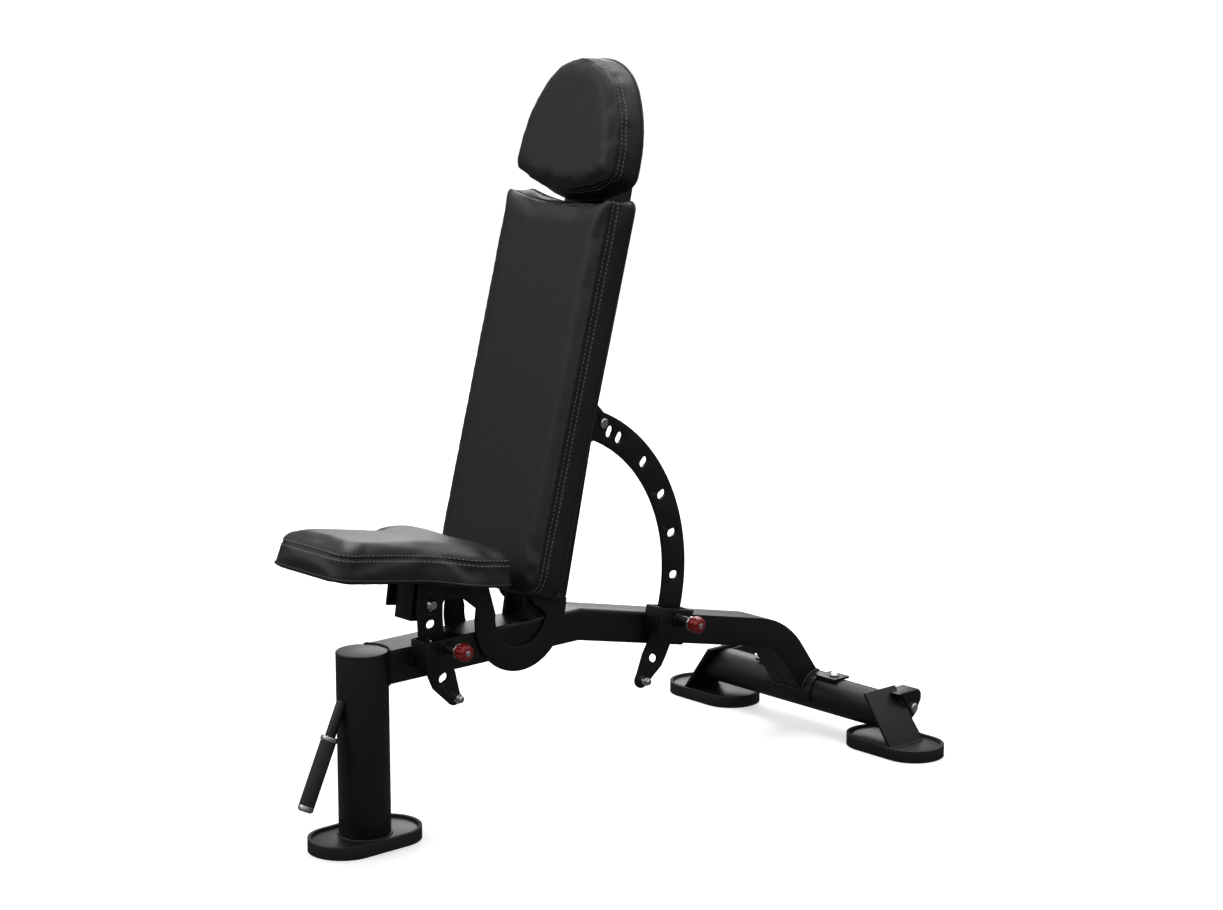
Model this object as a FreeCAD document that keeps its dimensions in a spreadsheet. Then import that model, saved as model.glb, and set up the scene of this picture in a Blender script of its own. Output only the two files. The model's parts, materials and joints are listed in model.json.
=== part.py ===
# Adjustable weight bench: welded steel frame, tilting seat, reclining backrest, two pull pins.
#
# Frame of the model: +Z is up, the bench stands on Z = 0, the user faces -Y, +X is the pin side.
# The origin is at the bottom centre of the bench's bounding box. Lengths are millimetres.
# Places along the bench are measured rearwards from the axis of the front post, at post_y.
import FreeCAD, Part
import math
import os
import re
import Sketcher

V = FreeCAD.Vector

SIZES = [
    ("post_y", -498.7, "Y of the front post's axis"),
    ("post_wide", 89.0, "outer diameter of the front post"),
    ("post_wall", 4.0, "wall of the front post"),
    ("post_high", 337.0, "top of the front post and of the level beam"),
    ("cap_thick", 4.0, "plate closing the post"),
    ("sole_thick", 10.0, "rubber under each steel foot plate"),
    ("foot_plate", 8.0, "thickness of each steel foot plate"),
    ("foot_high", 22.0, "height of the rubber feet at the rim"),
    ("foot_rim", 6.0, "thickness of the rubber rim"),
    ("front_foot_long", 212.0, "front foot along Y"),
    ("front_foot_wide", 124.0, "front foot along X"),
    ("rear_foot_long", 205.0, "rear feet along X"),
    ("rear_foot_wide", 118.0, "rear feet along Y"),
    ("rear_foot_x", 242.0, "centre of a rear foot from the middle plane"),
    ("rear_foot_y", 1060.0, "centre of the rear feet behind the post"),
    ("beam_wide", 76.0, "beam across"),
    ("beam_high", 58.0, "beam depth"),
    ("beam_wall", 3.5, "wall of the beam"),
    ("bend_y", 455.0, "where the beam turns down, behind the post"),
    ("beam_drop", 12.2, "slope of the rear beam, degrees"),
    ("twin_start", 262.0, "start of the twin arch tubes, along the rear beam"),
    ("arch_high", 54.0, "depth of the arch tubes"),
    ("arch_angle", 54.0, "slope of the arch where it meets the rear tube, degrees"),
    ("arch_bend", 150.0, "bend radius of the arch's middle line"),
    ("rear_tube_y", 1058.0, "axis of the rear cross tube behind the post"),
    ("rear_tube_z", 70.0, "height of the rear cross tube's axis"),
    ("rear_tube_wide", 70.0, "outer diameter of the rear cross tube"),
    ("rear_tube_wall", 4.0, "wall of the rear cross tube"),
    ("mitre_x", 208.0, "where the end plates meet the top of the cross tube"),
    ("mitre_angle", 54.0, "slope of the end plates, degrees"),
    ("end_plate", 6.0, "thickness of the sloping end plates"),
    ("end_plate_front", 49.0, "end plates ahead of the cross tube's axis"),
    ("end_plate_rear", 34.0, "end plates behind the cross tube's axis, at the top"),
    ("end_plate_foot", 42.0, "end plates behind the cross tube's axis, at the foot"),
    ("saddle_wall", 4.5, "wall of the saddle on the cross tube"),
    ("saddle_half", 106.0, "saddle from the middle plane to its end"),
    ("saddle_bolt_x", 86.0, "saddle bolts from the middle plane"),
    ("bracket_x", 200.0, "inner side of a wheel bracket from the middle plane"),
    ("bracket_wide", 40.0, "wheel bracket across, outside"),
    ("bracket_wall", 4.0, "wall of the wheel bracket"),
    ("bracket_reach", 75.0, "wheel bracket behind the cross tube's axis"),
    ("wheel_wide", 37.0, "transport wheel diameter"),
    ("wheel_thick", 24.0, "transport wheel width"),
    ("wheel_y", 55.0, "wheel axis behind the cross tube's axis"),
    ("wheel_z", 69.0, "height of the wheel axis"),
    ("axle_wide", 10.0, "transport wheel axle bolt"),
    ("run_fit", 0.05, "radial running fit of every journal"),
    ("pivot_y", 364.0, "common pivot of seat and backrest, behind the post"),
    ("pivot_rise", 50.0, "height of the common pivot above the beam"),
    ("pivot_shaft", 16.0, "pivot shaft diameter"),
    ("bush_wide", 34.0, "outer diameter of the pivot bush tube"),
    ("tower_thick", 8.0, "pivot tower plates"),
    ("tower_gap", 44.0, "between the pivot tower plates"),
    ("seat_plate", 5.0, "thickness of the seat's side plates"),
    ("seat_plate_gap", 1.3, "beam to side plate"),
    ("seat_tilt", 9.0, "seat at rest, front up, degrees"),
    ("hook_y", -46.0, "centre of the side plate's hook, from the pivot"),
    ("hook_z", -40.0, "centre of the side plate's hook, above the pivot"),
    ("hook_out", 102.0, "outer radius of the hook"),
    ("hook_in", 58.0, "inner radius of the hook"),
    ("back_tilt", 15.0, "backrest at rest, lean from upright, degrees"),
    ("flange_thick", 4.5, "wall of the backrest channel"),
    ("flange_gap", 1.0, "side plate to backrest flange"),
    ("web_front", 43.0, "front of the backrest channel, ahead of the pivot"),
    ("channel_top", 832.0, "top of the backrest channel, above the pivot"),
    ("flange_low", 50.0, "rear edge of the flanges behind the pivot, at the pivot"),
    ("flange_high", 14.0, "rear edge of the flanges behind the pivot, at the top"),
    ("sector_thick", 6.0, "thickness of the backrest sector"),
    ("sector_mid", 301.0, "pin circle of the backrest sector, radius"),
    ("sector_wide", 53.0, "radial width of the backrest sector"),
    ("sector_hole", 14.0, "slot width of the backrest sector"),
    ("sector_slot", 21.0, "slot length of the backrest sector"),
    ("back_pin_angle", 18.6, "backrest pin below the pivot, seen from it, degrees"),
    ("back_step", 15.0, "angle between backrest positions, degrees"),
    ("seat_sector_mid", 256.0, "pin circle of the seat sector, radius"),
    ("seat_sector_wide", 52.0, "radial width of the seat sector"),
    ("seat_pin_angle", 10.8, "seat pin below the pivot, seen from it, degrees"),
    ("seat_drop", 7.6, "seat down from rest to level, degrees"),
    ("seat_rise", 15.3, "seat up from rest to its top slot, degrees"),
    ("pin_wide", 10.0, "locking pin diameter"),
    ("pin_clear", 1.2, "pin nose to sector when pulled clear"),
    ("pin_throw", 12.0, "travel of the locking pins"),
    ("barrel_wide", 20.0, "outer diameter of the pin barrels"),
    ("barrel_long", 34.0, "pin barrels out of the sleeves"),
    ("spring_room", 2.0, "pin to the bore of its barrel, round the spring"),
    ("knob_wide", 31.0, "pull knob diameter"),
    ("knob_long", 26.0, "pull knob length"),
    ("sleeve_out", 45.0, "sleeves out from the beam's side"),
    ("sleeve_wall", 5.0, "wall of the sleeves"),
    ("sleeve_high", 48.0, "sleeve height"),
    ("sleeve_rise", 20.0, "sleeve centre above the beam centre"),
    ("sleeve_room", 5.0, "room for the sector inside a sleeve, each way"),
    ("pad_thick", 60.0, "cushion, its cover wrapped round the board"),
    ("board_thick", 12.0, "plywood board"),
    ("cross_thick", 5.0, "cross plates under the boards"),
    ("pad_gap", 0.4, "cushion to board"),
    ("seat_round", 20.0, "rounding of the seat cushion's top edge"),
    ("back_pad_wide", 286.0, "back pad across"),
    ("back_pad_low", -8.0, "bottom of the back pad, above the pivot"),
    ("back_pad_high", 686.0, "top corners of the back pad, above the pivot"),
    ("back_pad_dip", 17.0, "hollow of the back pad's top edge"),
    ("head_gap", 9.0, "back pad to head pad"),
    ("head_pad_wide", 268.0, "head pad across"),
    ("head_pad_high", 925.0, "top of the head pad, above the pivot"),
    ("seat_front", -492.0, "front of the seat pad, from the pivot"),
    ("seat_back", -152.0, "rear of the seat pad, from the pivot"),
    ("seat_front_wide", 200.0, "seat pad across its nose"),
    ("seat_back_wide", 300.0, "seat pad across its rear"),
    ("seat_under", 24.0, "underside of the seat board above the pivot"),
    ("seat_box_wide", 44.0, "seat strut across"),
    ("seat_box_deep", 42.0, "seat strut along Y"),
    ("seat_box_y", -273.0, "front of the seat strut, from the pivot"),
    ("handle_lean", 25.0, "handle out from upright, degrees"),
    ("handle_z", 258.0, "height of the handle's root on the post"),
    ("handle_wide", 18.0, "handle tube diameter"),
    ("handle_bare", 62.0, "bare handle tube from the post to its collar"),
    ("collar_wide", 30.0, "handle collar diameter"),
    ("collar_long", 9.0, "handle collar length"),
    ("grip_wide", 27.0, "handle grip diameter"),
    ("grip_long", 112.0, "handle grip length"),
]

doc = FreeCAD.newDocument("weight_bench")
sheet = doc.addObject("Spreadsheet::Sheet", "sizes")
for row, (alias, value, note) in enumerate(SIZES, 1):
    sheet.set("A%d" % row, note)
    sheet.set("B%d" % row, str(value))
    sheet.setAlias("B%d" % row, alias)
doc.recompute()

PIVOT_Z = "(post_high + pivot_rise)"
ALIASES = {alias for alias, value, note in SIZES}
NODES = {}


def bound(text):
    """An expression on the sheet's aliases, in the form that the document reads."""
    return re.sub(r"[a-z_]+", lambda m: "sizes." + m[0] if m[0] in ALIASES else m[0], str(text))


def val(text):
    """The number that such an expression gives now."""
    result = sheet.evalExpression(bound(text))
    return float(getattr(result, "Value", result))


def sin(degrees):
    return math.sin(math.radians(degrees))


def cos(degrees):
    return math.cos(math.radians(degrees))


def tan(degrees):
    return math.tan(math.radians(degrees))


def drive(thing, **sizes):
    """Bind properties of an object to the sheet."""
    for prop, text in sizes.items():
        thing.setExpression(prop, bound(text))


def put(thing, at=("0", "0", "0"), axis=None, turn="0"):
    """Bind an object's place, and its turn about an axis through that place."""
    if axis:
        thing.Placement = FreeCAD.Placement(V(), FreeCAD.Rotation(V(*axis), 1))
        thing.setExpression("Placement.Rotation.Angle", bound(turn))
    for name, text in zip("xyz", at):
        thing.setExpression("Placement.Base." + name, bound(text))
    return thing


def box(x, y, z, at, axis=None, turn="0"):
    """A block from its low corner."""
    thing = doc.addObject("Part::Box", "block")
    drive(thing, Length=x, Width=y, Height=z)
    return put(thing, at, axis, turn)


AXES = {"x": ((0, 1, 0), "90"), "y": ((1, 0, 0), "-90"), "z": (None, "0")}


def rod(radius, length, at, along="x", turn=None):
    """A cylinder from the middle of its low end, along an axis or turned about X from +Z."""
    thing = doc.addObject("Part::Cylinder", "rod")
    drive(thing, Radius=radius, Height=length)
    axis, angle = ((1, 0, 0), turn) if turn else AXES[along]
    return put(thing, at, axis, angle)


def cut(base, *tools):
    for tool in tools:
        result = doc.addObject("Part::Cut", "cut")
        result.Base = base
        result.Tool = tool
        base = result
    return base


def fuse(*shapes):
    result = doc.addObject("Part::MultiFuse", "joined")
    result.Shapes = list(shapes)
    return result


def group(*shapes):
    """Separate solids that share one node."""
    result = doc.addObject("Part::Compound", "set")
    result.Links = list(shapes)
    return result


def round_rim(base, radius, height):
    """Fillet the edges that lie at this height."""
    doc.recompute()
    rim = [i for i, edge in enumerate(base.Shape.Edges, 1)
           if all(abs(vertex.Z - height) < 1e-6 for vertex in edge.Vertexes)]
    result = doc.addObject("Part::Fillet", "rounded")
    result.Base = base
    result.Edges = [(i, radius, radius) for i in rim]
    return result


def loop(points):
    """Closed outline: (a, b) is a straight run's end, ((m, n), (a, b)) an arc through (m, n)."""
    last = points[-1][1] if isinstance(points[-1][0], tuple) else points[-1]
    edges = []
    for point in points:
        if isinstance(point[0], tuple):
            via, end = point
            edges.append(Part.Arc(V(*last, 0), V(*via, 0), V(*end, 0)))
        else:
            end = point
            if math.dist(last, end) < 1e-6:
                continue
            edges.append(Part.LineSegment(V(*last, 0), V(*end, 0)))
        last = end
    return edges


def circle(a, b, radius):
    return [Part.Circle(V(a, b, 0), V(0, 0, 1), radius)]


def slot(a, b, length, width, angle):
    """Obround hole, its long way at an angle from the first axis."""
    r = width / 2
    s = length / 2 - r
    ca, sa = cos(angle), sin(angle)

    def at(along, across):
        return (a + along * ca - across * sa, b + along * sa + across * ca)

    if s < 1e-6:
        return circle(a, b, r)
    return loop([at(s, -r), (at(s + r, 0), at(s, r)), at(-s, r), (at(-s - r, 0), at(-s, -r))])


def padded(name, plane, thick, loops, at=("0", "0", "0"), axis=None, turn="0"):
    """Body padded from outlines on one of its own origin planes."""
    body = doc.addObject("PartDesign::Body", name + "_body")
    drawing = body.newObject("Sketcher::SketchObject", name + "_outline")
    face = [f for f in body.Origin.OriginFeatures if f.Role == plane][0]
    drawing.AttachmentSupport = [(face, "")]
    drawing.MapMode = "FlatFace"
    for edges in loops:
        first = drawing.GeometryCount
        drawing.addGeometry(edges, False)
        if len(edges) > 1:
            link(drawing, first, len(edges))
    pad = body.newObject("PartDesign::Pad", name + "_pad")
    pad.Profile = drawing
    drive(pad, Length=thick)
    body.Tip = pad
    return put(body, at, axis, turn)


def link(drawing, first, count):
    """Join the ends of neighbouring lines and arcs of a closed outline."""
    for step in range(count):
        one, two = first + step, first + (step + 1) % count
        pairs = [(a, b) for a in (1, 2) for b in (1, 2)]
        gaps = [drawing.getPoint(one, a).distanceToPoint(drawing.getPoint(two, b)) for a, b in pairs]
        a, b = pairs[gaps.index(min(gaps))]
        drawing.addConstraint(Sketcher.Constraint("Coincident", one, a, two, b))


def turned(name, points, at, along="x", angle=None):
    """Body revolved about its own Z axis from (radius, height) points, then laid along an axis."""
    body = doc.addObject("PartDesign::Body", name + "_body")
    drawing = body.newObject("Sketcher::SketchObject", name + "_profile")
    face = [f for f in body.Origin.OriginFeatures if f.Role == "XZ_Plane"][0]
    drawing.AttachmentSupport = [(face, "")]
    drawing.MapMode = "FlatFace"
    edges = loop(points)
    drawing.addGeometry(edges, False)
    link(drawing, 0, len(edges))
    spin = body.newObject("PartDesign::Revolution", name + "_turn")
    spin.Profile = drawing
    spin.ReferenceAxis = (drawing, ["V_Axis"])
    spin.Angle = 360
    body.Tip = spin
    axis, turn = ((1, 0, 0), angle) if angle else AXES[along]
    return put(body, at, axis, turn)


def keep(name, thing, frame=None):
    """Name a finished sub-part, and set it in the frame of the seat or of the backrest."""
    thing.Label = name
    if frame:
        holder = thing
        tilt = {"seat": "-seat_tilt", "back": "-back_tilt"}[frame]
        if thing.TypeId in ("PartDesign::Body", "Part::Box", "Part::Cylinder"):
            thing.Label = name + "_piece"
            holder = group(thing)
        holder.Label = name
        put(holder, ("0", "post_y + pivot_y", PIVOT_Z), (1, 0, 0), tilt)
        thing = holder
    NODES[name] = thing
    return thing


# ---------------------------------------------------------------- front post and feet

def oval_foot(where, long, wide, x, y, upright):
    """Steel plate in a rubber boot, long along Y when upright, else along X."""
    angle = 90 if upright else 0
    a, b = val(x), val(y)
    outer = slot(a, b, val(long), val(wide), angle)
    inner = slot(a, b, val(long + "- 2 * foot_rim"), val(wide + "- 2 * foot_rim"), angle)
    steel = slot(a, b, val(long + "- 2 * foot_rim") - 0.4, val(wide + "- 2 * foot_rim") - 0.4, angle)
    boot = padded(where + "_boot", "XY_Plane", "foot_high", [outer])
    well = padded(where + "_well", "XY_Plane", "foot_high", [inner], ("0", "0", "sole_thick"))
    keep(where.replace("_base", "") + "_rubber_foot", cut(boot, well))
    keep(where + "_plate", padded(where, "XY_Plane", "foot_plate", [steel], ("0", "0", "sole_thick")))


plate_top = "(sole_thick + foot_plate)"
oval_foot("front_base", "front_foot_long", "front_foot_wide", "0", "post_y", True)
keep("front_post", cut(
    rod("post_wide / 2", "post_high - cap_thick - " + plate_top, ("0", "post_y", plate_top), "z"),
    rod("post_wide / 2 - post_wall", "post_high", ("0", "post_y", "0"), "z")))
keep("post_top_cap", turned("post_top_cap", [
    (0, 0), (val("post_wide / 2"), 0), (val("post_wide / 2"), val("cap_thick") - 1.5),
    (val("post_wide / 2") - 1.5, val("cap_thick")), (0, val("cap_thick"))],
    ("0", "post_y", "post_high - cap_thick"), "z"))

# ---------------------------------------------------------------- carrying handle

root_y = "post_y - post_wide / 2 + 1.5"
lean = "180 - handle_lean"


def on_handle(distance):
    """Place on the handle's axis, this far from its root."""
    return ("0", root_y + " - (%s) * sin(handle_lean)" % distance,
            "handle_z - (%s) * cos(handle_lean)" % distance)


handle_long = "(handle_bare + collar_long + grip_long)"
keep("handle_tube", cut(
    rod("handle_wide / 2", handle_long, on_handle("0"), turn=lean),
    rod("post_wide / 2", "post_high", ("0", "post_y", "0"), "z")))
grip_bore = val("handle_wide / 2") + 0.02
keep("handle_collar", turned("handle_collar", [
    (grip_bore, 0), (val("collar_wide / 2") - 1.5, 0), (val("collar_wide / 2"), 1.5),
    (val("collar_wide / 2"), val("collar_long") - 1.5), (val("collar_wide / 2") - 1.5, val("collar_long")),
    (grip_bore, val("collar_long"))], on_handle("handle_bare"), angle=lean))
keep("handle_grip", turned("handle_grip", [
    (grip_bore, 0), (val("grip_wide / 2"), 0), (val("grip_wide / 2"), val("grip_long")),
    (grip_bore, val("grip_long"))], on_handle("handle_bare + collar_long"), angle=lean))
keep("handle_end_cap", turned("handle_end_cap", [
    (0, 0), (val("grip_wide / 2"), 0), (val("grip_wide / 2"), 7), (val("grip_wide / 2") - 3, 10), (0, 10)],
    on_handle(handle_long), angle=lean))

# ---------------------------------------------------------------- main beam

beam_mid = val("post_high - beam_high / 2")
drop = val("beam_drop")
bend = (val("post_y + bend_y"), beam_mid)


def along_beam(distance, rise):
    """(Y, Z) on the rear beam, this far behind the bend and this far above its middle line."""
    return (bend[0] + distance * cos(drop) + rise * sin(drop),
            bend[1] - distance * sin(drop) + rise * cos(drop))


def level_part(half):
    """Outline of the level beam, this far each side of its middle line, mitred at the bend."""
    skew = half * tan(drop / 2)
    start = val("post_y + post_wide / 2") - 14
    return loop([(start, beam_mid - half), (bend[0] - skew, beam_mid - half),
                 (bend[0] + skew, beam_mid + half), (start, beam_mid + half)])


def falling_part(half):
    """Outline of the rear beam as far as the twin tubes."""
    skew = half * tan(drop / 2)
    end = val("twin_start")
    return loop([along_beam(skew, -half), along_beam(end, -half), along_beam(end, half),
                 along_beam(-skew, half)])


def beam_tube(name, outline, half):
    outer = padded(name + "_outside", "YZ_Plane", "beam_wide", [outline(half)], ("-beam_wide / 2", "0", "0"))
    inner = padded(name + "_inside", "YZ_Plane", "beam_wide - 2 * beam_wall",
                   [outline(half - val("beam_wall"))], ("beam_wall - beam_wide / 2", "0", "0"))
    return cut(outer, inner)


half_beam = val("beam_high / 2")
keep("front_beam", cut(beam_tube("front_beam", level_part, half_beam),
                       rod("post_wide / 2", "post_high", ("0", "post_y", "0"), "z")))
keep("rear_beam", beam_tube("rear_beam", falling_part, half_beam))

# ---------------------------------------------------------------- twin arch tubes

steep = val("arch_angle")
rear_axis = (val("post_y + rear_tube_y"), val("rear_tube_z"))
arch_line = half_beam - val("arch_high / 2")
saddle_out = val("rear_tube_wide / 2 + saddle_wall")


def arch_corner():
    """Distance along the rear beam where the arch's two straight lines would meet."""
    y0, z0 = along_beam(0, arch_line)
    gap_y, gap_z = rear_axis[0] - y0, rear_axis[1] - z0
    turn = sin(steep) * cos(drop) - cos(steep) * sin(drop)
    return (gap_y * sin(steep) + gap_z * cos(steep)) / turn


def arch_outline(inset, ends):
    """Closed outline of an arch tube, inset from its outside, run past its ends by this much."""
    half = val("arch_high / 2") - inset
    tangent = val("arch_bend") * tan((steep - drop) / 2)
    start, corner = val("twin_start") - ends, arch_corner()
    turn_y, turn_z = along_beam(corner - tangent, arch_line)
    centre = (turn_y - val("arch_bend") * sin(drop), turn_z - val("arch_bend") * cos(drop))
    middle = (steep + drop) / 2

    def on_arc(angle, side):
        radius = val("arch_bend") + side
        return (centre[0] + radius * sin(angle), centre[1] + radius * cos(angle))

    def foot(side):
        y, z = on_arc(steep, side)
        to_axis = (rear_axis[0] - y) * cos(steep) - (rear_axis[1] - z) * sin(steep)
        reach = to_axis - val("rear_tube_wide / 2") * 0.6 + ends
        return (y + reach * cos(steep), z - reach * sin(steep))

    return loop([along_beam(start, arch_line - half), along_beam(corner - tangent, arch_line - half),
                 (on_arc(middle, -half), on_arc(steep, -half)), foot(-half), foot(half),
                 on_arc(steep, half), (on_arc(middle, half), on_arc(drop, half)),
                 along_beam(start, arch_line + half)])


for side, low_x in (("left", "-beam_wide / 2"), ("right", "0")):
    name = "arch_tube_" + side
    wall = val("beam_wall")
    outer = padded(name + "_outside", "YZ_Plane", "beam_wide / 2", [arch_outline(0, 0)], (low_x, "0", "0"))
    inner = padded(name + "_inside", "YZ_Plane", "beam_wide / 2 - 2 * beam_wall",
                   [arch_outline(wall, 5)], (low_x + " + beam_wall", "0", "0"))
    keep(name, cut(outer, inner, rod("rear_tube_wide / 2 + saddle_wall", "beam_wide * 2",
                                     ("-beam_wide", "post_y + rear_tube_y", "rear_tube_z"))))

# ---------------------------------------------------------------- rear cross tube, saddle, legs

tube_y = "post_y + rear_tube_y"
tube_half = "(mitre_x + (rear_tube_wide + 10) / tan(mitre_angle))"
tube_top = "(rear_tube_z + rear_tube_wide / 2)"


def mitre_block(side):
    """Everything beyond the inner face of a sloping end plate."""
    block = box("400", "400", "800", ("0" if side > 0 else "-400", "0", "-400"))
    return put(group(block), ("%d * mitre_x" % side, tube_y + " - 200", tube_top), (0, -1, 0),
               "%d * (90 - mitre_angle)" % side)


keep("rear_cross_tube", cut(
    rod("rear_tube_wide / 2", "2 * " + tube_half, ("-" + tube_half, tube_y, "rear_tube_z")),
    rod("rear_tube_wide / 2 - rear_tube_wall", "2 * " + tube_half, ("-" + tube_half, tube_y, "rear_tube_z")),
    mitre_block(1), mitre_block(-1)))

saddle = cut(
    rod("rear_tube_wide / 2 + saddle_wall", "beam_wide + 40", ("-beam_wide / 2 - 20", tube_y, "rear_tube_z")),
    rod("rear_tube_wide / 2", "beam_wide + 40", ("-beam_wide / 2 - 20", tube_y, "rear_tube_z")),
    box("beam_wide + 60", "120", "80", ("-beam_wide / 2 - 30", tube_y + " - 60", "rear_tube_z - 92")))
tabs = [box("saddle_half - beam_wide / 2 - 20", "40", "saddle_wall",
            (x, tube_y + " - 20", tube_top)) for x in ("beam_wide / 2 + 20", "-saddle_half")]
bolt_places = [("%d * saddle_bolt_x" % side, tube_y, tube_top) for side in (-1, 1)]
keep("saddle", cut(fuse(saddle, *tabs), *[rod("4", "saddle_wall", at, "z") for at in bolt_places]))


def button_bolt(name, head, high, shank, long, at, along="z"):
    """Button head above its seat, shank below it, along the axis."""
    return turned(name, [(0, -long), (shank, -long), (shank, 0), (head, 0), (head, high * 0.45),
                         (head * 0.62, high), (0, high)], at, along)


keep("saddle_bolts", group(*[
    button_bolt("saddle_bolt", 9.5, 6.0, 4.0, val("saddle_wall"), at[:2] + (tube_top + " + saddle_wall",))
    for at in bolt_places]))

slope_long = "((" + tube_top + " - " + plate_top + ") / sin(mitre_angle))"
plate_reach = val(slope_long) + 10
end_outline = loop([
    (val(tube_y + "- end_plate_front"), -plate_reach), (val(tube_y + "+ end_plate_foot"), -plate_reach),
    (val(tube_y + "+ end_plate_rear"), 4), (val(tube_y + "- end_plate_front"), 4)])


def end_plate(side):
    """Sloping plate on an end of the cross tube, still as long as its sheet."""
    inner = "-end_plate" if side < 0 else "0"
    flat = padded("end_plate", "YZ_Plane", "end_plate", [end_outline], (inner, "0", "0"))
    at = ("%d * mitre_x" % side, "0", tube_top)
    return put(group(flat), at, (0, -1, 0), "%d * (90 - mitre_angle)" % side)


for side, where in ((-1, "left"), (1, "right")):
    ground = box("1200", "400", plate_top, ("-600", tube_y + " - 200", "0"))
    keep("leg_end_plate_" + where, cut(end_plate(side), ground))
    oval_foot("rear_base_" + where, "rear_foot_long", "rear_foot_wide",
              "%d * rear_foot_x" % side, "post_y + rear_foot_y", False)

# ---------------------------------------------------------------- transport wheels

axle_y = tube_y + " + wheel_y"
bracket_top = "(" + tube_top + " - 2)"
behind_tube = val(tube_y)
reach = val("bracket_reach")
cheek = loop([(behind_tube, val("rear_tube_z")), (behind_tube + 20, val("wheel_z") - 22),
              (behind_tube + reach - 26, val("wheel_z") - 22), (behind_tube + reach - 12, val("wheel_z") - 10),
              (behind_tube + reach - 8, val("wheel_z")), (behind_tube + reach, val("wheel_z") + 14),
              (behind_tube + reach, val(bracket_top) - 8), (behind_tube + reach - 6, val(bracket_top)),
              (behind_tube, val(bracket_top))])
for side, where in ((-1, "left"), (1, "right")):
    inner_x = "bracket_x" if side > 0 else "-bracket_x - bracket_wide"
    hollow = box("bracket_wide - 2 * bracket_wall", "200", "200",
                 (inner_x + " + bracket_wall", tube_y + " - 50", bracket_top + " - bracket_wall - 200"))
    keep("wheel_bracket_" + where, cut(
        padded("bracket_" + where, "YZ_Plane", "bracket_wide", [cheek], (inner_x, "0", "0")), hollow,
        rod("rear_tube_wide / 2", "bracket_wide", (inner_x, tube_y, "rear_tube_z")),
        rod("axle_wide / 2", "bracket_wide", (inner_x, axle_y, "wheel_z")), end_plate(side)))
    middle = "(" + inner_x + " + bracket_wide / 2)"
    bore = val("axle_wide / 2 + run_fit")
    rim = val("wheel_wide / 2")
    half = val("wheel_thick / 2")
    hub = rim * 0.62
    keep("wheel_hub_" + where, turned("wheel_hub_" + where, [
        (bore, -half - 2), (bore + 3, -half - 2), (bore + 3, -half + 3), (hub, -half + 3),
        (hub, half - 3), (bore + 3, half - 3), (bore + 3, half + 2), (bore, half + 2)],
        (middle, axle_y, "wheel_z")))
    keep("wheel_tyre_" + where, turned("wheel_tyre_" + where, [
        (hub, -half + 1), (rim - 3, -half), (rim, -half + 3), (rim, half - 3), (rim - 3, half),
        (hub, half - 1)], (middle, axle_y, "wheel_z")))

axle_half = val("bracket_wide / 2")
axle_r = val("axle_wide / 2")
keep("wheel_axle_bolts", group(*[turned("axle_bolt", [
    (0, -axle_half - 7), (8.5, -axle_half - 7), (8.5, -axle_half), (axle_r, -axle_half),
    (axle_r, axle_half), (9.5, axle_half), (9.5, axle_half + 2.5), (7, axle_half + 4.5),
    (0, axle_half + 4.5)], ("bracket_x + bracket_wide / 2", axle_y, "wheel_z")),
    turned("axle_bolt", [
    (0, axle_half + 7), (8.5, axle_half + 7), (8.5, axle_half), (axle_r, axle_half),
    (axle_r, -axle_half), (9.5, -axle_half), (9.5, -axle_half - 2.5), (7, -axle_half - 4.5),
    (0, -axle_half - 4.5)], ("-bracket_x - bracket_wide / 2", axle_y, "wheel_z"))]))

# ---------------------------------------------------------------- pivot tower

pivot = (val("post_y + pivot_y"), val(PIVOT_Z))
bush_out = val("bush_wide / 2")
foot_drop = val("pivot_rise")
plate_x = "(beam_wide / 2 + seat_plate_gap)"
flange_x = "(" + plate_x + " + seat_plate + flange_gap)"
flange_out = "(" + flange_x + " + flange_thick)"
tower = loop([(pivot[0] - 34, pivot[1] - foot_drop), (pivot[0] + 46, pivot[1] - foot_drop),
              (pivot[0] + bush_out + 8, pivot[1]),
              ((pivot[0], pivot[1] + bush_out + 8), (pivot[0] - bush_out - 8, pivot[1]))])
keep("pivot_tower_plates", group(*[
    padded("tower", "YZ_Plane", "tower_thick", [tower, circle(*pivot, bush_out)], (x, "0", "0"))
    for x in ("tower_gap / 2", "-tower_gap / 2 - tower_thick")]))
at_pivot = ("0", "post_y + pivot_y", PIVOT_Z)


def across(half, radius, at=at_pivot):
    """A rod along X, this far each side of the middle plane."""
    return rod(radius, "2 * " + half, ("-" + half,) + at[1:])


keep("pivot_bush", cut(across("(" + plate_x + " - 0.3)", "bush_wide / 2"),
                       across(plate_x, "pivot_shaft / 2 + run_fit")))
shaft_half = val(flange_out) + 0.3
shaft_r = val("pivot_shaft / 2")
keep("pivot_shaft", turned("pivot_shaft", [
    (0, -shaft_half - 7), (9, -shaft_half - 7), (12, -shaft_half - 4), (12, -shaft_half),
    (shaft_r, -shaft_half), (shaft_r, shaft_half), (12, shaft_half), (12, shaft_half + 4), (9, shaft_half + 7), (0, shaft_half + 7)],
    at_pivot))

# ---------------------------------------------------------------- pins, their places and sleeves


def pin_place(sector, angle, side):
    """A pin's place: so far below the pivot's level, behind it (1) or ahead of it (-1)."""
    return ("0", "post_y + pivot_y + %d * %s * cos(%s)" % (side, sector, angle),
            "%s - %s * sin(%s)" % (PIVOT_Z, sector, angle))


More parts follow.
